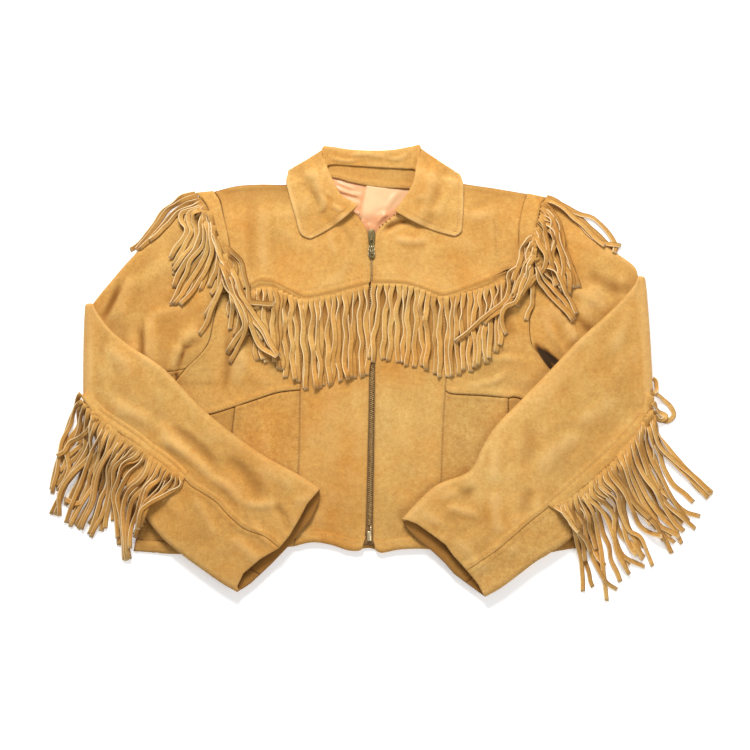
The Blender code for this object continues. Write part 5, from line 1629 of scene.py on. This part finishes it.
def fore_layer(side, sleeve, rest, t, shares, is_front, shrink=0.0, back_off=0.0):
    """Points of one layer of the forearm. For the turned cuff the ring shrinks and backs off."""
    plan = fore_plan(sleeve, t, shares, "under" if is_front else "over")
    a, b = fore_edges(sleeve, t)
    width = np.linalg.norm(b - a, axis=-1)
    room = (FOLD_ROOM + (CUFF_ROOM - FOLD_ROOM) * smooth_step(t * 2))[:, None]
    base = read_grid(*rest, np.repeat(t[:, None], shares.shape[1], axis=1), shares)
    profile = tube_profile(shares, width, room / 2)
    x, y = plan[..., 0], plan[..., 1]
    inside = np.minimum(1.0, 6 * np.minimum(shares, 1 - shares)) * smooth_step(t * 7)[:, None]
    folds = crease_relief(x, y, SLEEVE_CREASES[side]["fore"])
    if is_front:
        level = base + 0.5 * room * (1 - profile) + shrink
        level = level + np.maximum(folds, 0) * 0.35 * inside
    else:
        folds = folds + 0.4 * unevenness(x, y, 44, 21 + SIDES.index(side))
        level = base + 0.5 * room * (1 + profile) + folds * inside - shrink
    way = (b - a) / width[..., None]
    edge_in = np.clip(1 - np.minimum(shares, 1 - shares) * width / 6, 0, 1)
    plan = plan + way * (np.where(shares < 0.5, 1, -1) * shrink * edge_in)[..., None]
    if back_off:
        length = along(curve_through(sleeve["fore_a"]), [1.0, 0.97])
        inward = length[1] - length[0]
        plan = plan + inward / np.linalg.norm(inward) * back_off
    return np.dstack([plan, level])


print("room inside at the cuff:", CUFF_ROOM, "mm")

# %% Where the seams run
CUFF_FOLD = ((0.35, -0.7), (1.2, -0.9), (1.9, 0.3), (2.0, 5.0), (2.0, 18.0))


def sleeve_layers(side, shares_of, sleeve, rest):
    """Both layers' grids over the whole sleeve. shares_of gives each layer's shares at each row."""
    t_upper, steps, t_fore = (evenly(UPPER_ROWS + 1), evenly(FOLD_ROWS + 1)[1:],
                              evenly(FORE_ROWS + 1)[1:])
    grids = []
    for is_front in (True, False):
        upper = upper_layer(side, sleeve, t_upper, shares_of("upper", t_upper, is_front), is_front)
        fold = fold_layer(sleeve, steps, shares_of("fold", steps, is_front), is_front)
        shares = shares_of("fore", t_fore, is_front)
        fore = fore_layer(side, sleeve, rest, t_fore, shares, is_front)
        cuffs = [fore_layer(side, sleeve, rest, t_fore[-1:], shares[-1:], is_front, shrink, back)
                 for shrink, back in CUFF_FOLD]
        grids.append(np.concatenate([upper, fold, fore, *cuffs]))
    return grids


def crossing_shares(sleeve, line, t):
    """Where a plan line crosses each section of the forearm, as a share of the section's width."""
    a, b = (edge[:, 0] for edge in fore_edges(sleeve, evenly(301)))
    ways = b - a
    places, shares = [], []
    for point in curve_through(line):
        share = ((point - a) * ways).sum(axis=1) / (ways ** 2).sum(axis=1)
        off = np.linalg.norm(a + ways * share[:, None] - point, axis=1)
        nearest = int(np.argmin(off))
        places.append(nearest / 300)
        shares.append(min(share[nearest], 0.985))
    order = np.argsort(places)
    return np.interp(t, np.array(places)[order], np.array(shares)[order])


def seam_shares(sleeve, part, t):
    """Places of the back and front seams as shares of the width."""
    if part == "upper":
        return (seam_place(BACK_SEAM, "armhole", "elbow", t),
                seam_place(FRONT_SEAM, "armhole", "elbow", t))
    if part == "fold":
        return (np.full(len(t), BACK_SEAM["elbow"]), np.full(len(t), FRONT_SEAM["elbow"]))
    back = crossing_shares(sleeve, sleeve["fore_seam"], t)
    blend = smooth_step(t / 0.12)
    back = BACK_SEAM["elbow"] * (1 - blend) + back * blend
    return back, seam_place(FRONT_SEAM, "elbow", "cuff", t)


print("the left sleeve's back seam leaves the fold at",
      seam_shares(SLEEVES["left"], "fore", np.array([0.0]))[0].round(2), "of the width")

# %% Make the sleeves
SLEEVE_SEAMS = {
    "sleeve_top": {"east": ("flap", (2.4, 7.5)), "west": ("valley", ())},
    "sleeve_under": {"east": ("valley", ()), "west": ("valley", ())},
}
SLEEVE_GAP, CUFF_SHADE, CUFF_ROWS = 0.2, 0.9, 26


def lay_tube(side, sleeve):
    """Raises the pile to the upper arm and its fold, so that the forearm can rest on them."""
    whole, t = evenly(60), evenly(90)
    stamp(upper_layer(side, sleeve, t, np.tile(whole, (len(t), 1)), True), SUEDE / 2)
    fold = fold_layer(sleeve, evenly(12), np.tile(whole, (12, 1)), True)
    stamp(fold * [1, 1, 0] + [0, 0, 0.5], 0)


def make_sleeve(side):
    sleeve = SLEEVES[side]
    unit = both_ends(LAYER_COLUMNS)

    def top_shares(part, t, is_front):
        back, front = seam_shares(sleeve, part, t)
        return np.outer(front if is_front else back, unit)

    def under_shares(part, t, is_front):
        back, front = seam_shares(sleeve, part, t)
        return 1 - np.outer(1 - (front if is_front else back), unit)

    def fold_level(share):
        return fold_layer(sleeve, np.array([1.0]), np.array([share]), True)[0, :, 2]

    lay_tube(side, sleeve)
    rest = forearm_rest(sleeve, fold_level)
    for name, shares_of in (("sleeve_top", top_shares), ("sleeve_under", under_shares)):
        is_top = name == "sleeve_top"
        front, back = sleeve_layers(side, shares_of, sleeve, rest)
        first, second = (front, back) if is_top else (back, front)
        grid = np.concatenate([first[:, ::-1], second[:, 1:]], axis=1)
        grid, tone = sewn(drawn_in(grid, SLEEVE_GAP, ends=False), SLEEVE_SEAMS[name],
                          sleeve["tone"][1])
        shade = crease_relief(grid[..., 0], grid[..., 1], SLEEVE_CREASES[side]["shade"])
        tone[:UPPER_ROWS] += sleeve["tone"][0] - sleeve["tone"][1] + shade[:UPPER_ROWS]
        # Painted shade inside the cuff, on the layer that shows through its opening.
        inside = np.zeros(grid.shape[:2])
        inside[:, slice(0, LAYER_COLUMNS) if is_top else slice(LAYER_COLUMNS - 1, None)] = 1
        rows = smooth_step((np.arange(len(grid)) - (len(grid) - CUFF_ROWS)) / 8)
        tone = tone + CUFF_SHADE * inside * rows[:, None]
        if side == "right":
            grid, tone = grid[:, ::-1], tone[:, ::-1]
        nap = suede if is_top or side == "left" else shaggy_suede
        obj = cloth(f"{name}_{side}_suede", grid, tone=tone, material=nap)
        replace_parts(obj, f"{name}_{side}")
        declare(obj, grid)
        stamp(grid, SUEDE / 2, factor=3)
        if is_top:
            fore = slice(UPPER_ROWS + FOLD_ROWS + 8, -len(CUFF_FOLD))
            for groove in SLEEVE_SEAMS[name]["east"][1]:
                line = line_inside(grid, "east" if side == "left" else "west", groove)
                add_stitches(f"sleeve_{side}", line[fore])


for side in SIDES:
    make_sleeve(side)
    print(f"sleeve {side}:", cut_sizes[f"sleeve_top_{side}_suede"])


# %% [markdown]
# ## Fringe at the armholes and sleeves
# These strands don't hang in rows: they fall over the shoulder, loop at their roots and lie across
# each other, so each one that shows is given as a line of a few points from root to tip.
# Under every two neighbours from a comb's given strand on lies one more strand, on a line near
# midway between them.

# %% Strips
# The strip lies between the line sewn into the seam and the line where the strands are cut.
STRIPS = {
    "armhole_left": (
        [(-199, 232), (-191, 219), (-186, 199), (-181, 178), (-179, 163), (-180, 148), (-182, 136)],
        [(-222, 230), (-212, 221), (-206, 212), (-203, 203), (-193, 177), (-187, 162), (-186, 148),
         (-186, 136)]),
    "armhole_right": (
        [(195, 229), (189, 211), (185, 190), (184, 168), (185, 151)],
        [(218, 224), (212, 215), (209, 203), (206, 190), (204, 176), (203, 166), (202, 154)]),
    "sleeve_left": (
        [(-354, -16), (-336, -39), (-316, -53), (-289, -71), (-272, -85), (-253, -98), (-236, -113),
         (-229, -121)],
        [(-363, -26), (-344, -50), (-324, -66), (-296, -84), (-279, -98), (-261, -111),
         (-244, -126), (-237, -133)]),
    "sleeve_right": (
        [(341, -20), (337, -38), (323, -57), (301, -80), (281, -100), (258, -121), (239, -138),
         (217, -159)],
        [(352, -26), (349, -46), (336, -69), (314, -94), (293, -114), (270, -135), (250, -151),
         (228, -168)]),
}
TUCKED = {"sleeve_left": 7.5, "sleeve_right": 4.5}
print("strips:", *STRIPS)

# %% Placed strands
# Each strand is its root, and then the step to each of its next points.
STRANDS = {}
STRANDS["armhole_left"] = [
    [(-222, 229), (-16, -3), (-10, -9), (-16, -12), (-16, -23), (-14, -17), (-10, -7)],
    [(-219, 226), (-15, -4), (-20, -12), (-14, -16), (-14, -19), (-14, -17)],
    [(-214, 221), (-17, -4), (-16, -11), (-15, -15), (-13, -16), (-16, -16)],
    [(-212, 219), (-15, -7), (-16, -8), (-14, -15), (-12, -11), (-10, -8)],
    [(-210, 213), (-14, -4), (-14, -5), (0, -10), (6, -9), (-3, -13), (-10, -11), (-8, -14)],
    [(-208, 212), (-12, -5), (-10, -4), (0, -11), (4, -10), (-4, -12), (-10, -18), (-8, -14)],
    [(-207, 211), (-10, -4), (-7, -4), (1, -11), (4, -8), (0, -11), (-8, -14), (-11, -12),
     (-11, -14)],
    [(-209, 207), (-5, -15), (0, -15), (-5, -16), (-12, -16), (-10, -16), (-7, -18)],
    [(-210, 207), (-1, -11), (1, -18), (-2, -15), (-14, -18), (-5, -16), (-10, -19), (-11, -21)],
    [(-206, 207), (-2, -15), (5, -17), (-3, -18), (-7, -15), (-11, -18), (-11, -18), (-12, -17)],
    [(-205, 206), (3, -17), (0, -18), (2, -17), (-6, -18), (-9, -17), (-12, -18), (-13, -11)],
    [(-203, 205), (3, -13), (2, -17), (5, -14), (1, -14), (-2, -14), (-6, -12), (-4, -9)],
    [(-201, 203), (-2, -11), (7, -19), (7, -16), (1, -17), (-2, -14), (-2, -20), (-8, -17),
     (-9, -14)],
    [(-192, 175), (-2, -14), (8, -21), (0, -18), (-5, -19), (-7, -16), (-8, -19), (-10, -16)],
    [(-186, 164), (10, -8), (12, -13), (5, -14), (5, -19), (2, -17), (14, -2), (17, -2)],
    [(-184, 157), (-3, -12), (6, -14), (4, -16), (4, -14), (7, -16), (6, -14)],
    [(-184, 150), (8, -15), (7, -16), (4, -14), (9, -14), (10, -15), (13, -19), (8, -19), (8, -14)],
    [(-182, 147), (-2, -9), (8, -16), (7, -17), (9, -18), (7, -19), (7, -19), (9, -14), (19, -11)],
    [(-184, 140), (5, -18), (3, -17), (2, -18), (-1, -14), (-2, -15)],
    [(-189, 140), (4, -16), (4, -14), (12, -14), (9, -25), (-1, -12), (-10, -13), (-10, -18)],
    [(-181, 133), (6, -18), (13, -24), (5, -21), (-2, -18), (-7, -16), (-12, -20)],
]
STRANDS["armhole_right"] = [
    [(219, 224), (13, -5), (15, -10), (15, -12), (17, -16), (15, -15), (15, -8)],
    [(224, 223), (18, -10), (19, -11), (17, -4), (13, -11), (10, -13), (4, -11), (-2, -9)],
    [(221, 222), (20, -13), (16, -14), (13, -14), (16, -13), (27, -5)],
    [(217, 222), (19, -10), (15, -12), (15, -13), (12, -13), (13, -11)],
    [(215, 218), (10, -12), (8, -16), (5, -15), (2, -17), (6, -15), (7, -16), (6, -16)],
    [(213, 217), (14, -14), (9, -15), (0, -17), (6, -16), (6, -17), (2, -14), (4, -14)],
    [(212, 216), (12, -15), (5, -15), (5, -15), (4, -16), (3, -17), (5, -12), (0, -25)],
    [(211, 206), (6, -4), (7, -7), (0, -14), (8, -15), (5, -15), (1, -17), (-1, -16), (1, -14)],
    [(210, 199), (9, -9), (10, -10), (0, -12), (-4, -17), (6, -13), (5, -17), (7, -18)],
    [(208, 195), (8, -9), (3, -16), (3, -20), (4, -19), (6, -18)],
    [(205, 181), (3, -15), (8, -16), (-2, -16), (-10, -12), (-14, -14), (-14, -12)],
    [(204, 176), (-11, -8), (-7, -12), (-2, -13), (-4, -14), (-5, -12)],
    [(204, 174), (-8, -13), (-2, -11), (3, -12), (-2, -14), (-8, -15), (-3, -8)],
    [(204, 171), (-3, -13), (-5, -12), (3, -15), (-5, -18), (-9, -15), (-4, -11)],
    [(203, 161), (-4, -13), (-9, -14), (-6, -13), (-5, -15), (-3, -5)],
    [(202, 158), (-1, -13), (-7, -17), (-7, -17), (-8, -18), (-12, -6), (-5, -9), (1, -14),
     (5, -12)],
    [(196, 151), (-12, -13), (-14, -10), (1, -17), (-6, -18), (-16, -13), (-22, -18), (-24, -19)],
    [(206, 151), (2, -13), (4, -13), (14, -16), (15, -18), (13, -20)],
    [(204, 145), (2, -14), (3, -13), (12, -14), (15, -17), (16, -18)],
    [(209, 138), (15, -4), (12, -15), (8, -20), (12, -21)],
]
STRANDS["sleeve_left"] = [
    [(-363, -22), (-5, -6), (-6, -16), (-9, -26), (-7, -22), (-8, -28), (-4, -23)],
    [(-361, -31), (-10, -8), (-7, -22), (-10, -20), (-4, -17), (-4, -22), (-5, -28)],
    [(-357, -35), (-7, -15), (-2, -16), (-9, -17), (-8, -12), (3, -22), (-10, -22), (-4, -7)],
    [(-353, -40), (-4, -19), (-2, -16), (-1, -19), (-16, -24), (-9, -21), (-18, -35)],
    [(-347, -45), (-3, -16), (-14, -14), (-14, -9), (-7, -10), (-10, -6)],
    [(-346, -47), (-5, -17), (-3, -19), (-14, -28), (-14, -23), (-16, -41)],
    [(-340, -52), (-7, -14), (-6, -15), (0, -19), (-22, -23), (-15, -23), (-4, -30)],
    [(-333, -56), (-7, -14), (3, -14), (-5, -22), (-11, -17), (-3, -16), (-8, -17), (-9, -4),
     (-14, 5)],
    [(-330, -58), (-9, -18), (-11, -18), (-9, -23), (-9, -22), (-16, -46)],
    [(-326, -62), (-7, -14), (-3, -16), (-9, -25), (-5, -20), (-18, -31), (-11, -22)],
    [(-320, -67), (-8, -16), (-6, -18), (-12, -27), (-3, -18), (-8, -22), (-13, -24)],
    [(-314, -73), (-8, -17), (-14, -21), (-8, -23), (-4, -20), (-9, -19), (-7, -20)],
    [(-308, -76), (-13, -19), (-9, -18), (-2, -23), (-8, -18), (-6, -24), (-10, -21)],
    [(-300, -80), (-14, -18), (-12, -19), (-3, -22), (-6, -23), (-7, -20), (-11, -21)],
    [(-292, -86), (-14, -12), (-14, -16), (-3, -22), (-5, -18), (-6, -24), (-2, -14)],
    [(-286, -90), (-10, -12), (-16, -9), (-6, -20), (-7, -17), (4, -22), (2, -34)],
    [(-280, -95), (-8, -13), (-15, -14), (-12, -21), (-3, -13), (3, -22), (4, -31), (1, -22)],
    [(-275, -100), (-5, -20), (-8, -12), (-15, -11), (-9, -21), (0, -21), (5, -47)],
    [(-269, -104), (-6, -19), (-9, -16), (-13, -14), (-7, -17), (-2, -23), (2, -37)],
    [(-263, -108), (-9, -18), (-11, -13), (-7, -18), (-5, -17), (-6, -19), (-2, -23)],
    [(-258, -112), (-7, -16), (-13, -11), (-5, -15), (-7, -24), (-7, -23)],
    [(-252, -116), (-10, -15), (-8, -15), (-11, -11), (-6, -13), (-5, -15), (-6, -18)],
    [(-246, -120), (-5, -12), (-14, -16), (-13, -11), (-6, -14), (-4, -15)],
    [(-239, -124), (2, -10), (-5, -7), (-17, -7), (-22, -13), (-7, -10), (-3, -21)],
]
STRANDS["sleeve_right"] = [
    [(350, -21), (12, -6), (13, -11), (4, -11), (-8, -8), (-10, 5), (-8, 9)],
    [(350, -23), (7, 8), (0, 9), (-4, 3)],
    [(350, -33), (10, -11), (9, -7), (-7, -4), (-8, 6)],
    [(349, -41), (7, -24), (14, -24), (21, -25), (21, -19), (16, -13)],
    [(348, -43), (7, -31), (7, -18), (19, -19), (25, -26), (16, -17)],
    [(346, -45), (5, -23), (9, -19), (19, -19), (21, -19), (26, -25)],
    [(343, -48), (4, -24), (6, -23), (9, -30), (14, -29), (17, -17), (19, -6)],
    [(341, -52), (2, -26), (6, -21), (11, -25), (14, -26), (11, -17), (13, -15)],
    [(334, -63), (2, -21), (7, -22), (8, -19), (8, -18)],
    [(330, -72), (2, -15), (11, -27), (10, -23), (19, -26), (17, -15), (17, -15)],
    [(324, -78), (4, -21), (11, -23), (16, -22), (13, -25), (13, -17), (11, -9)],
    [(319, -84), (3, -22), (10, -19), (11, -23), (17, -25), (17, -18), (12, -20)],
    [(315, -89), (4, -21), (9, -23), (11, -21), (12, -21), (11, -23), (15, -25)],
    [(309, -95), (8, -27), (11, -26), (13, -21), (17, -17), (28, -17)],
    [(305, -101), (8, -24), (11, -25), (15, -19), (15, -17), (12, -21)],
    [(301, -106), (6, -23), (12, -15), (13, -19), (15, -15)],
    [(295, -112), (5, -15), (13, -17), (11, -19), (10, -21), (13, -12), (16, -5)],
    [(290, -117), (2, -14), (15, -17), (6, -27), (4, -23), (7, -19), (8, -9)],
    [(284, -122), (2, -15), (19, -17), (6, -17), (11, -23), (14, -9), (9, -17), (8, -19)],
    [(278, -126), (3, -16), (15, -12), (7, -13), (-1, -17), (3, -21), (11, -21), (27, -13)],
    [(273, -132), (2, -16), (15, -10), (12, -17), (1, -23), (6, -22), (14, -28)],
    [(268, -137), (3, -15), (13, -13), (10, -17), (8, -21), (5, -19), (17, -27)],
    [(263, -140), (4, -16), (8, -15), (6, -19), (5, -21), (4, -28), (4, -44)],
    [(258, -144), (4, -16), (7, -15), (6, -23), (6, -20)],
    [(253, -148), (3, -15), (9, -19), (6, -29), (10, -28), (13, -19), (14, -10)],
    [(247, -152), (1, -15), (4, -25), (6, -21), (6, -26), (0, -32)],
    [(240, -155), (5, -16), (9, -21), (11, -19), (2, -21)],
    [(235, -157), (4, -14), (9, -13), (17, -19), (8, -17)],
    [(227, -161), (8, -8), (11, -11), (10, -14)],
]
# Each comb's strand width and tint, and the first strand that has one more beside it.
PLACED = {"armhole_left": (6.3, 0.27, 4), "armhole_right": (6.3, 0.21, 4),
          "sleeve_left": (6.0, 0.25, 1), "sleeve_right": (6.0, 0.08, 3)}
print("placed strands:", {name: len(strands) for name, strands in STRANDS.items()})

# %% Make the placed combs


def placed_path(random, points, jitter):
    """A hand-placed line read at the strand's stations, with small waves of its own."""
    line = along(curve_through(points), STATIONS)
    run = np.gradient(line, axis=0)
    side = np.stack([run[:, 1], -run[:, 0]], axis=1) / np.linalg.norm(run, axis=1, keepdims=True)
    wave = sum(np.sin(math.tau * cycles * STATIONS + random.uniform(0, 6)) / cycles
               for cycles in (1.3, 2.4, 4.1))
    return line + side * (jitter * wave * smooth_step(STATIONS / 0.2))[:, None]


def placed_comb(name, seed):
    random = Random(seed)
    (kind, side), (strand_width, tint, first_pair) = name.split("_"), PLACED[name]
    seam, cut_line = (along(curve_through(line), evenly(60)) for line in STRIPS[name])
    plan = np.array([cut_line * (1 - v) + seam * v for v in evenly(6)])
    need = pile_at(plan, reach=2) + STRIP_GAP + SUEDE / 2
    grid = np.dstack([plan, eased(need, need, 14)])
    if name in TUCKED:
        from_seam = np.linalg.norm(plan - plan[-1:], axis=-1)
        grid[..., 2] -= 2.6 * fade(from_seam - TUCKED[name], 0.8)
    stamp(grid, SUEDE / 2 - 1.6)
    placed = [np.cumsum(steps, axis=0) for steps in STRANDS[name]]
    paths = []
    for pair in zip(placed[first_pair:], placed[first_pair + 1:]):
        first, second = (along(curve_through(points), STATIONS) for points in pair)
        share = random.uniform(0.35, 0.65)
        middle = first * share + second * (1 - share)
        paths.append((along(middle, STATIONS * random.uniform(0.86, 1.0)), 2.2))
    paths += [(points, 0.8) for points in placed]
    strands, tints = [], []
    for points, jitter in paths:
        path = placed_path(random, points, jitter)
        width = strand_width * random.uniform(0.88, 1.08) * np.ones(len(STATIONS))
        nearest = int(np.argmin(np.linalg.norm(plan[0] - path[0], axis=1)))
        root = grid[0, nearest, 2] if jitter < 1 else None
        roll = roll_of(random)
        strands.append(strand_vertices(path, width, roll, random.uniform(-0.02, 0.02), root))
        tints.append(random.gauss(tint, 0.11))
    stamp(grid, SUEDE / 2)
    if name in ("armhole_left", "sleeve_right"):
        grid = grid[:, ::-1]
    strip = cloth(f"fringe_{name}_strip", grid)
    fringe = join_strands(f"fringe_{name}_strands", strands, tints)
    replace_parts(fringe, f"fringe_{name}")
    declare(strip, grid)
    print(f"fringe_{name}", "strands:", len(strands))


for seed, name in enumerate(STRANDS, start=10):
    placed_comb(name, seed)


# %% [markdown]
# ## Collar
# The collar is one folded strip. Its stand rises from the neck seam, rolls over and falls outside;
# behind the neck the fall lies underneath. Each row of the table is one section round the neck, and
# the rows between are read smoothly, so the leaf's point and roll come from a few places.

# %% Collar sizes and sections
COLLAR_WALL, ROLL_HEIGHT, BOW = 2.0, 4.6, 4.0
ROWS, COLUMNS = 170, 61
# The neck seam, the roll line and the outer edge in plan, and whether the fall lies behind.
COLLAR = [
    ((-24, 205), (-19.5, 211), (-77, 172), 0.0), ((-29, 207), (-25, 214.5), (-85, 174), 0.0),
    ((-35, 209), (-31, 218), (-90.5, 180), 0.0), ((-46, 215), (-41, 225), (-95, 196), 0.0),
    ((-57, 226), (-49, 239), (-101, 217), 0.0), ((-64, 241), (-56, 255), (-107, 241), 0.0),
    ((-64, 252), (-61, 270), (-106, 252), 0.3), ((-57, 262), (-61, 284), (-103, 258), 0.7),
    ((-48, 265), (-52, 285), (-86, 245), 1.0), ((-26, 263.5), (-28, 281.5), (-44, 231), 1.0),
    ((0, 262), (0, 280), (0, 227), 1.0), ((24, 260.5), (26, 281), (44, 231), 1.0),
    ((44, 259.5), (49, 285), (84, 244), 1.0), ((54, 258), (59.5, 286), (107, 254), 0.7),
    ((59, 249), (58, 271), (114, 242), 0.3), ((59, 238), (56, 255), (114.5, 224), 0.0),
    ((53, 223), (52, 238), (114, 207), 0.0), ((44, 213), (43, 222), (113, 192), 0.0),
    ((37, 206), (36, 212), (111.5, 180), 0.0), ((31, 202), (30, 205), (104, 175), 0.0),
]
COLLAR_CREASES = [
    (-55, 225, -60, 203, 5, 5, -1.8), (-62, 226, -68, 204, 4, 9, 1.8),
    (-50, 216, -34, 208, -3, 6, 1.6), (-84, 200, -70, 240, 5, 10, 0.9),
    (74, 200, 88, 236, -5, 12, 1.1), (60, 208, 92, 196, 4, 9, 0.9), (50, 246, 68, 262, 2, 7, 1.1),
    (-66, 250, -84, 254, 2, 8, 1.0), (96, 216, 102, 240, 3, 7, 0.7), (-30, 276, 20, 273, 3, 4, 1.5),
    (-54, 276, -20, 270, -3, 4, 1.6), (46, 279, 20, 272, 3, 5, 1.5),
    (-20, 268, 40, 266, 2, 3, -1.2), (40, 214, 64, 224, 2, 5, 1.2), (-38, 222, -58, 232, 2, 5, 1.0),
]


print("sections of the collar:", len(COLLAR))

# %% Make the collar


def collar_row(n):
    """One section: up the stand, over the roll and out along the fall."""
    half, stand_points, fall_points, last = COLLAR_WALL / 2, 2, 6, len(COLLAR) - 1
    seam, roll, edge = (np.array(point, float) for point in COLLAR[n][:3])
    behind = COLLAR[n][3]
    stand_z = float(pile_at(seam, reach=5)) + half + 0.9 - 0.7 * behind
    start_z = (stand_z + ROLL_HEIGHT) * (1 - behind) + half * behind
    beyond = roll + (roll - seam) / np.linalg.norm(roll - seam) * COLLAR_WALL
    bow = BOW * (1 if n in (0, last) else 0.55 if n in (1, last - 1) else 0)
    row = [(*(seam + (roll - seam) * i / stand_points), stand_z) for i in range(stand_points + 1)]
    row += [(*beyond, (stand_z + start_z) / 2), (*roll, start_z)]
    for i in range(1, fall_points + 1):
        t = i / fall_points
        p = roll + (edge - roll) * t - np.array([0, 4 * t * (1 - t)]) * bow
        ground = 0.0 if behind > 0.5 else float(pile_at(p, reach=2)) + 0.5
        crest = start_z * (1 - smooth_step((t - 0.25) / 0.6)) * (1 - behind)
        row.append((*p, max(ground + half, crest)))
    return row


def make_collar():
    half = COLLAR_WALL / 2
    grid = finer(np.array([collar_row(n) for n in range(len(COLLAR))]), ROWS, COLUMNS)
    behind = np.interp(np.linspace(0, len(COLLAR) - 1, ROWS), range(len(COLLAR)),
                       [row[3] for row in COLLAR])[:, None]
    is_fall = smooth_step((np.arange(COLUMNS) - 26) / 6)[None]
    stand = (1 - smooth_step((np.arange(COLUMNS) - 18) / 5)[None]) * behind
    need = (pile_at(grid, reach=3) + 0.5) * smooth_step((0.75 - behind) / 0.5) + half
    x, y, z = np.moveaxis(grid, -1, 0)
    z = np.where(is_fall > 0.5, np.maximum(z, eased(need, need, 24)), z)
    z = np.maximum(z, half + 0.05)
    folds = crease_relief(x, y, COLLAR_CREASES) + 0.3 * unevenness(x, y, 26, 31)
    z = z + np.maximum(folds, -0.4) * (is_fall * (1 - behind) + stand)
    grid = np.dstack([x, y, z])
    south, north, _, east = edge_distances(grid)
    tone, rise = np.zeros(z.shape), np.zeros(z.shape)
    # Each edge of the leaf gets a stitch groove 7 mm in with painted shade, and rolls down with a
    # paler band of painted highlight along it. Over all goes painted shade in hollows and painted
    # highlight on ridges.
    for edge, on_leaf in ((east, 1.0), (south, is_fall), (north, is_fall)):
        near = fade(np.abs(edge - 7.0), 1.6) * on_leaf * (1 - behind)
        rise -= 0.55 * near
        tone += 0.12 * near
        rise -= 0.6 * fade(edge, 2.0) * on_leaf * (1 - behind)
        tone -= 0.3 * fade(edge - 2, 4.0) * on_leaf * (1 - behind)
    tone += cavity_shade_and_ridge_highlight(grid, 4, 0.16) + cavity_shade_and_ridge_highlight(grid, 9, 0.05)
    grid[..., 2] += rise
    obj = cloth("collar_suede", grid, COLLAR_WALL, tone)
    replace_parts(obj, "collar")
    declare(obj, grid)
    return grid


collar_grid = make_collar()
print("collar:", cut_sizes["collar_suede"])


# %% [markdown]
# ## Stitching
# The lines noted while the panels were made are sewn now, with those of the collar and of the seam
# that joins two hides on the right yoke.

# %% Sew the lines
EXTRA_SEAMS = [[(151, 198), (152, 170), (153, 137)], [(156, 198), (157, 170), (158, 138)]]


def on_cloth(line):
    """A plan line laid on the pile, with a point about every two millimetres."""
    line = curve_through(line)
    plan = along(line, evenly(max(3, int(lengths_of(line)[-1] / 2))))
    return np.column_stack([plan, pile_at(plan, reach=0)])


def collar_lines(inset):
    """The stitch lines from each point of the leaf to the back of the neck."""
    outer = line_inside(collar_grid, "east", inset)
    first, last = (line_inside(collar_grid, edge, inset) for edge in ("south", "north"))
    return np.vstack([first[32:54], outer[8:62]]), np.vstack([last[32:54], outer[-9:-62:-1]])


for inset in (5.2, 7.6):
    for line in collar_lines(inset):
        add_stitches("collar", line, COLLAR_WALL / 2)
for line in EXTRA_SEAMS:
    add_stitches("front_right", on_cloth(line), 0.1)
for group in stitch_lines:
    make_stitches(group)


# %% [markdown]
# ## Floor, light and camera
# The floor is one large pale plane. The light is a studio's: a broad soft key from above the
# collar, a wide fill from the hem's side, and a pale world, so that shadows stay soft. The camera
# looks straight down from far enough that the thick parts hardly lean outwards.

# %% Stage and light
CAMERA_HEIGHT, CLOTH_HEIGHT = 2.8, 0.015
FRAME_WIDTH, FRAME_CENTRE = 0.9375, (0.00375, 0.00125)
SENSOR = 36.0


def make_floor():
    bm = bmesh.new()
    bmesh.ops.create_grid(bm, x_segments=1, y_segments=1, size=4)
    mesh = mesh_of("floor", bm)
    paper = Finish("paper_floor")
    tint = paper.ramp(paper.noise(3, 2), [(0.3, (0.93,) * 3), (0.7, (0.95,) * 3)])
    mesh.materials.append(paper.made({
        "Base Color": tint, "Roughness": 0.9, "Emission Color": (1, 1, 1, 1),
        "Emission Strength": 0.32}))
    linked("floor", mesh)


def add_light(name, place, size, power, colour):
    """A round lamp that looks at the middle of the jacket."""
    data = bpy.data.lights.new(name, "AREA")
    data.shape, data.size = "DISK", size
    data.energy, data.color = power, colour
    light = linked(name, data)
    light.location = place
    light.rotation_euler = (-Vector(place)).to_track_quat("-Z", "Y").to_euler()


make_floor()
add_light("key", (-0.25, 1.7, 1.6), 0.8, 66, (1.0, 0.985, 0.96))
add_light("fill", (1.5, -0.9, 2.0), 1.8, 19, (1.0, 0.99, 0.98))
world = bpy.data.worlds.new("studio")
world.use_nodes = True
sky = world.node_tree.nodes["Background"].inputs
sky["Color"].default_value, sky["Strength"].default_value = (1.0, 0.99, 0.98, 1), 0.35
bpy.context.scene.world = world
bpy.context.scene.view_settings.view_transform = "Standard"

# %% Camera
camera_data = bpy.data.cameras.new("camera")
camera_data.sensor_width = SENSOR
camera_data.lens = SENSOR * (CAMERA_HEIGHT - CLOTH_HEIGHT) / FRAME_WIDTH
camera = linked("camera", camera_data)
camera.location = (*FRAME_CENTRE, CAMERA_HEIGHT)
bpy.context.scene.camera = camera
print("lens:", round(camera_data.lens), "mm")

# %% [markdown]
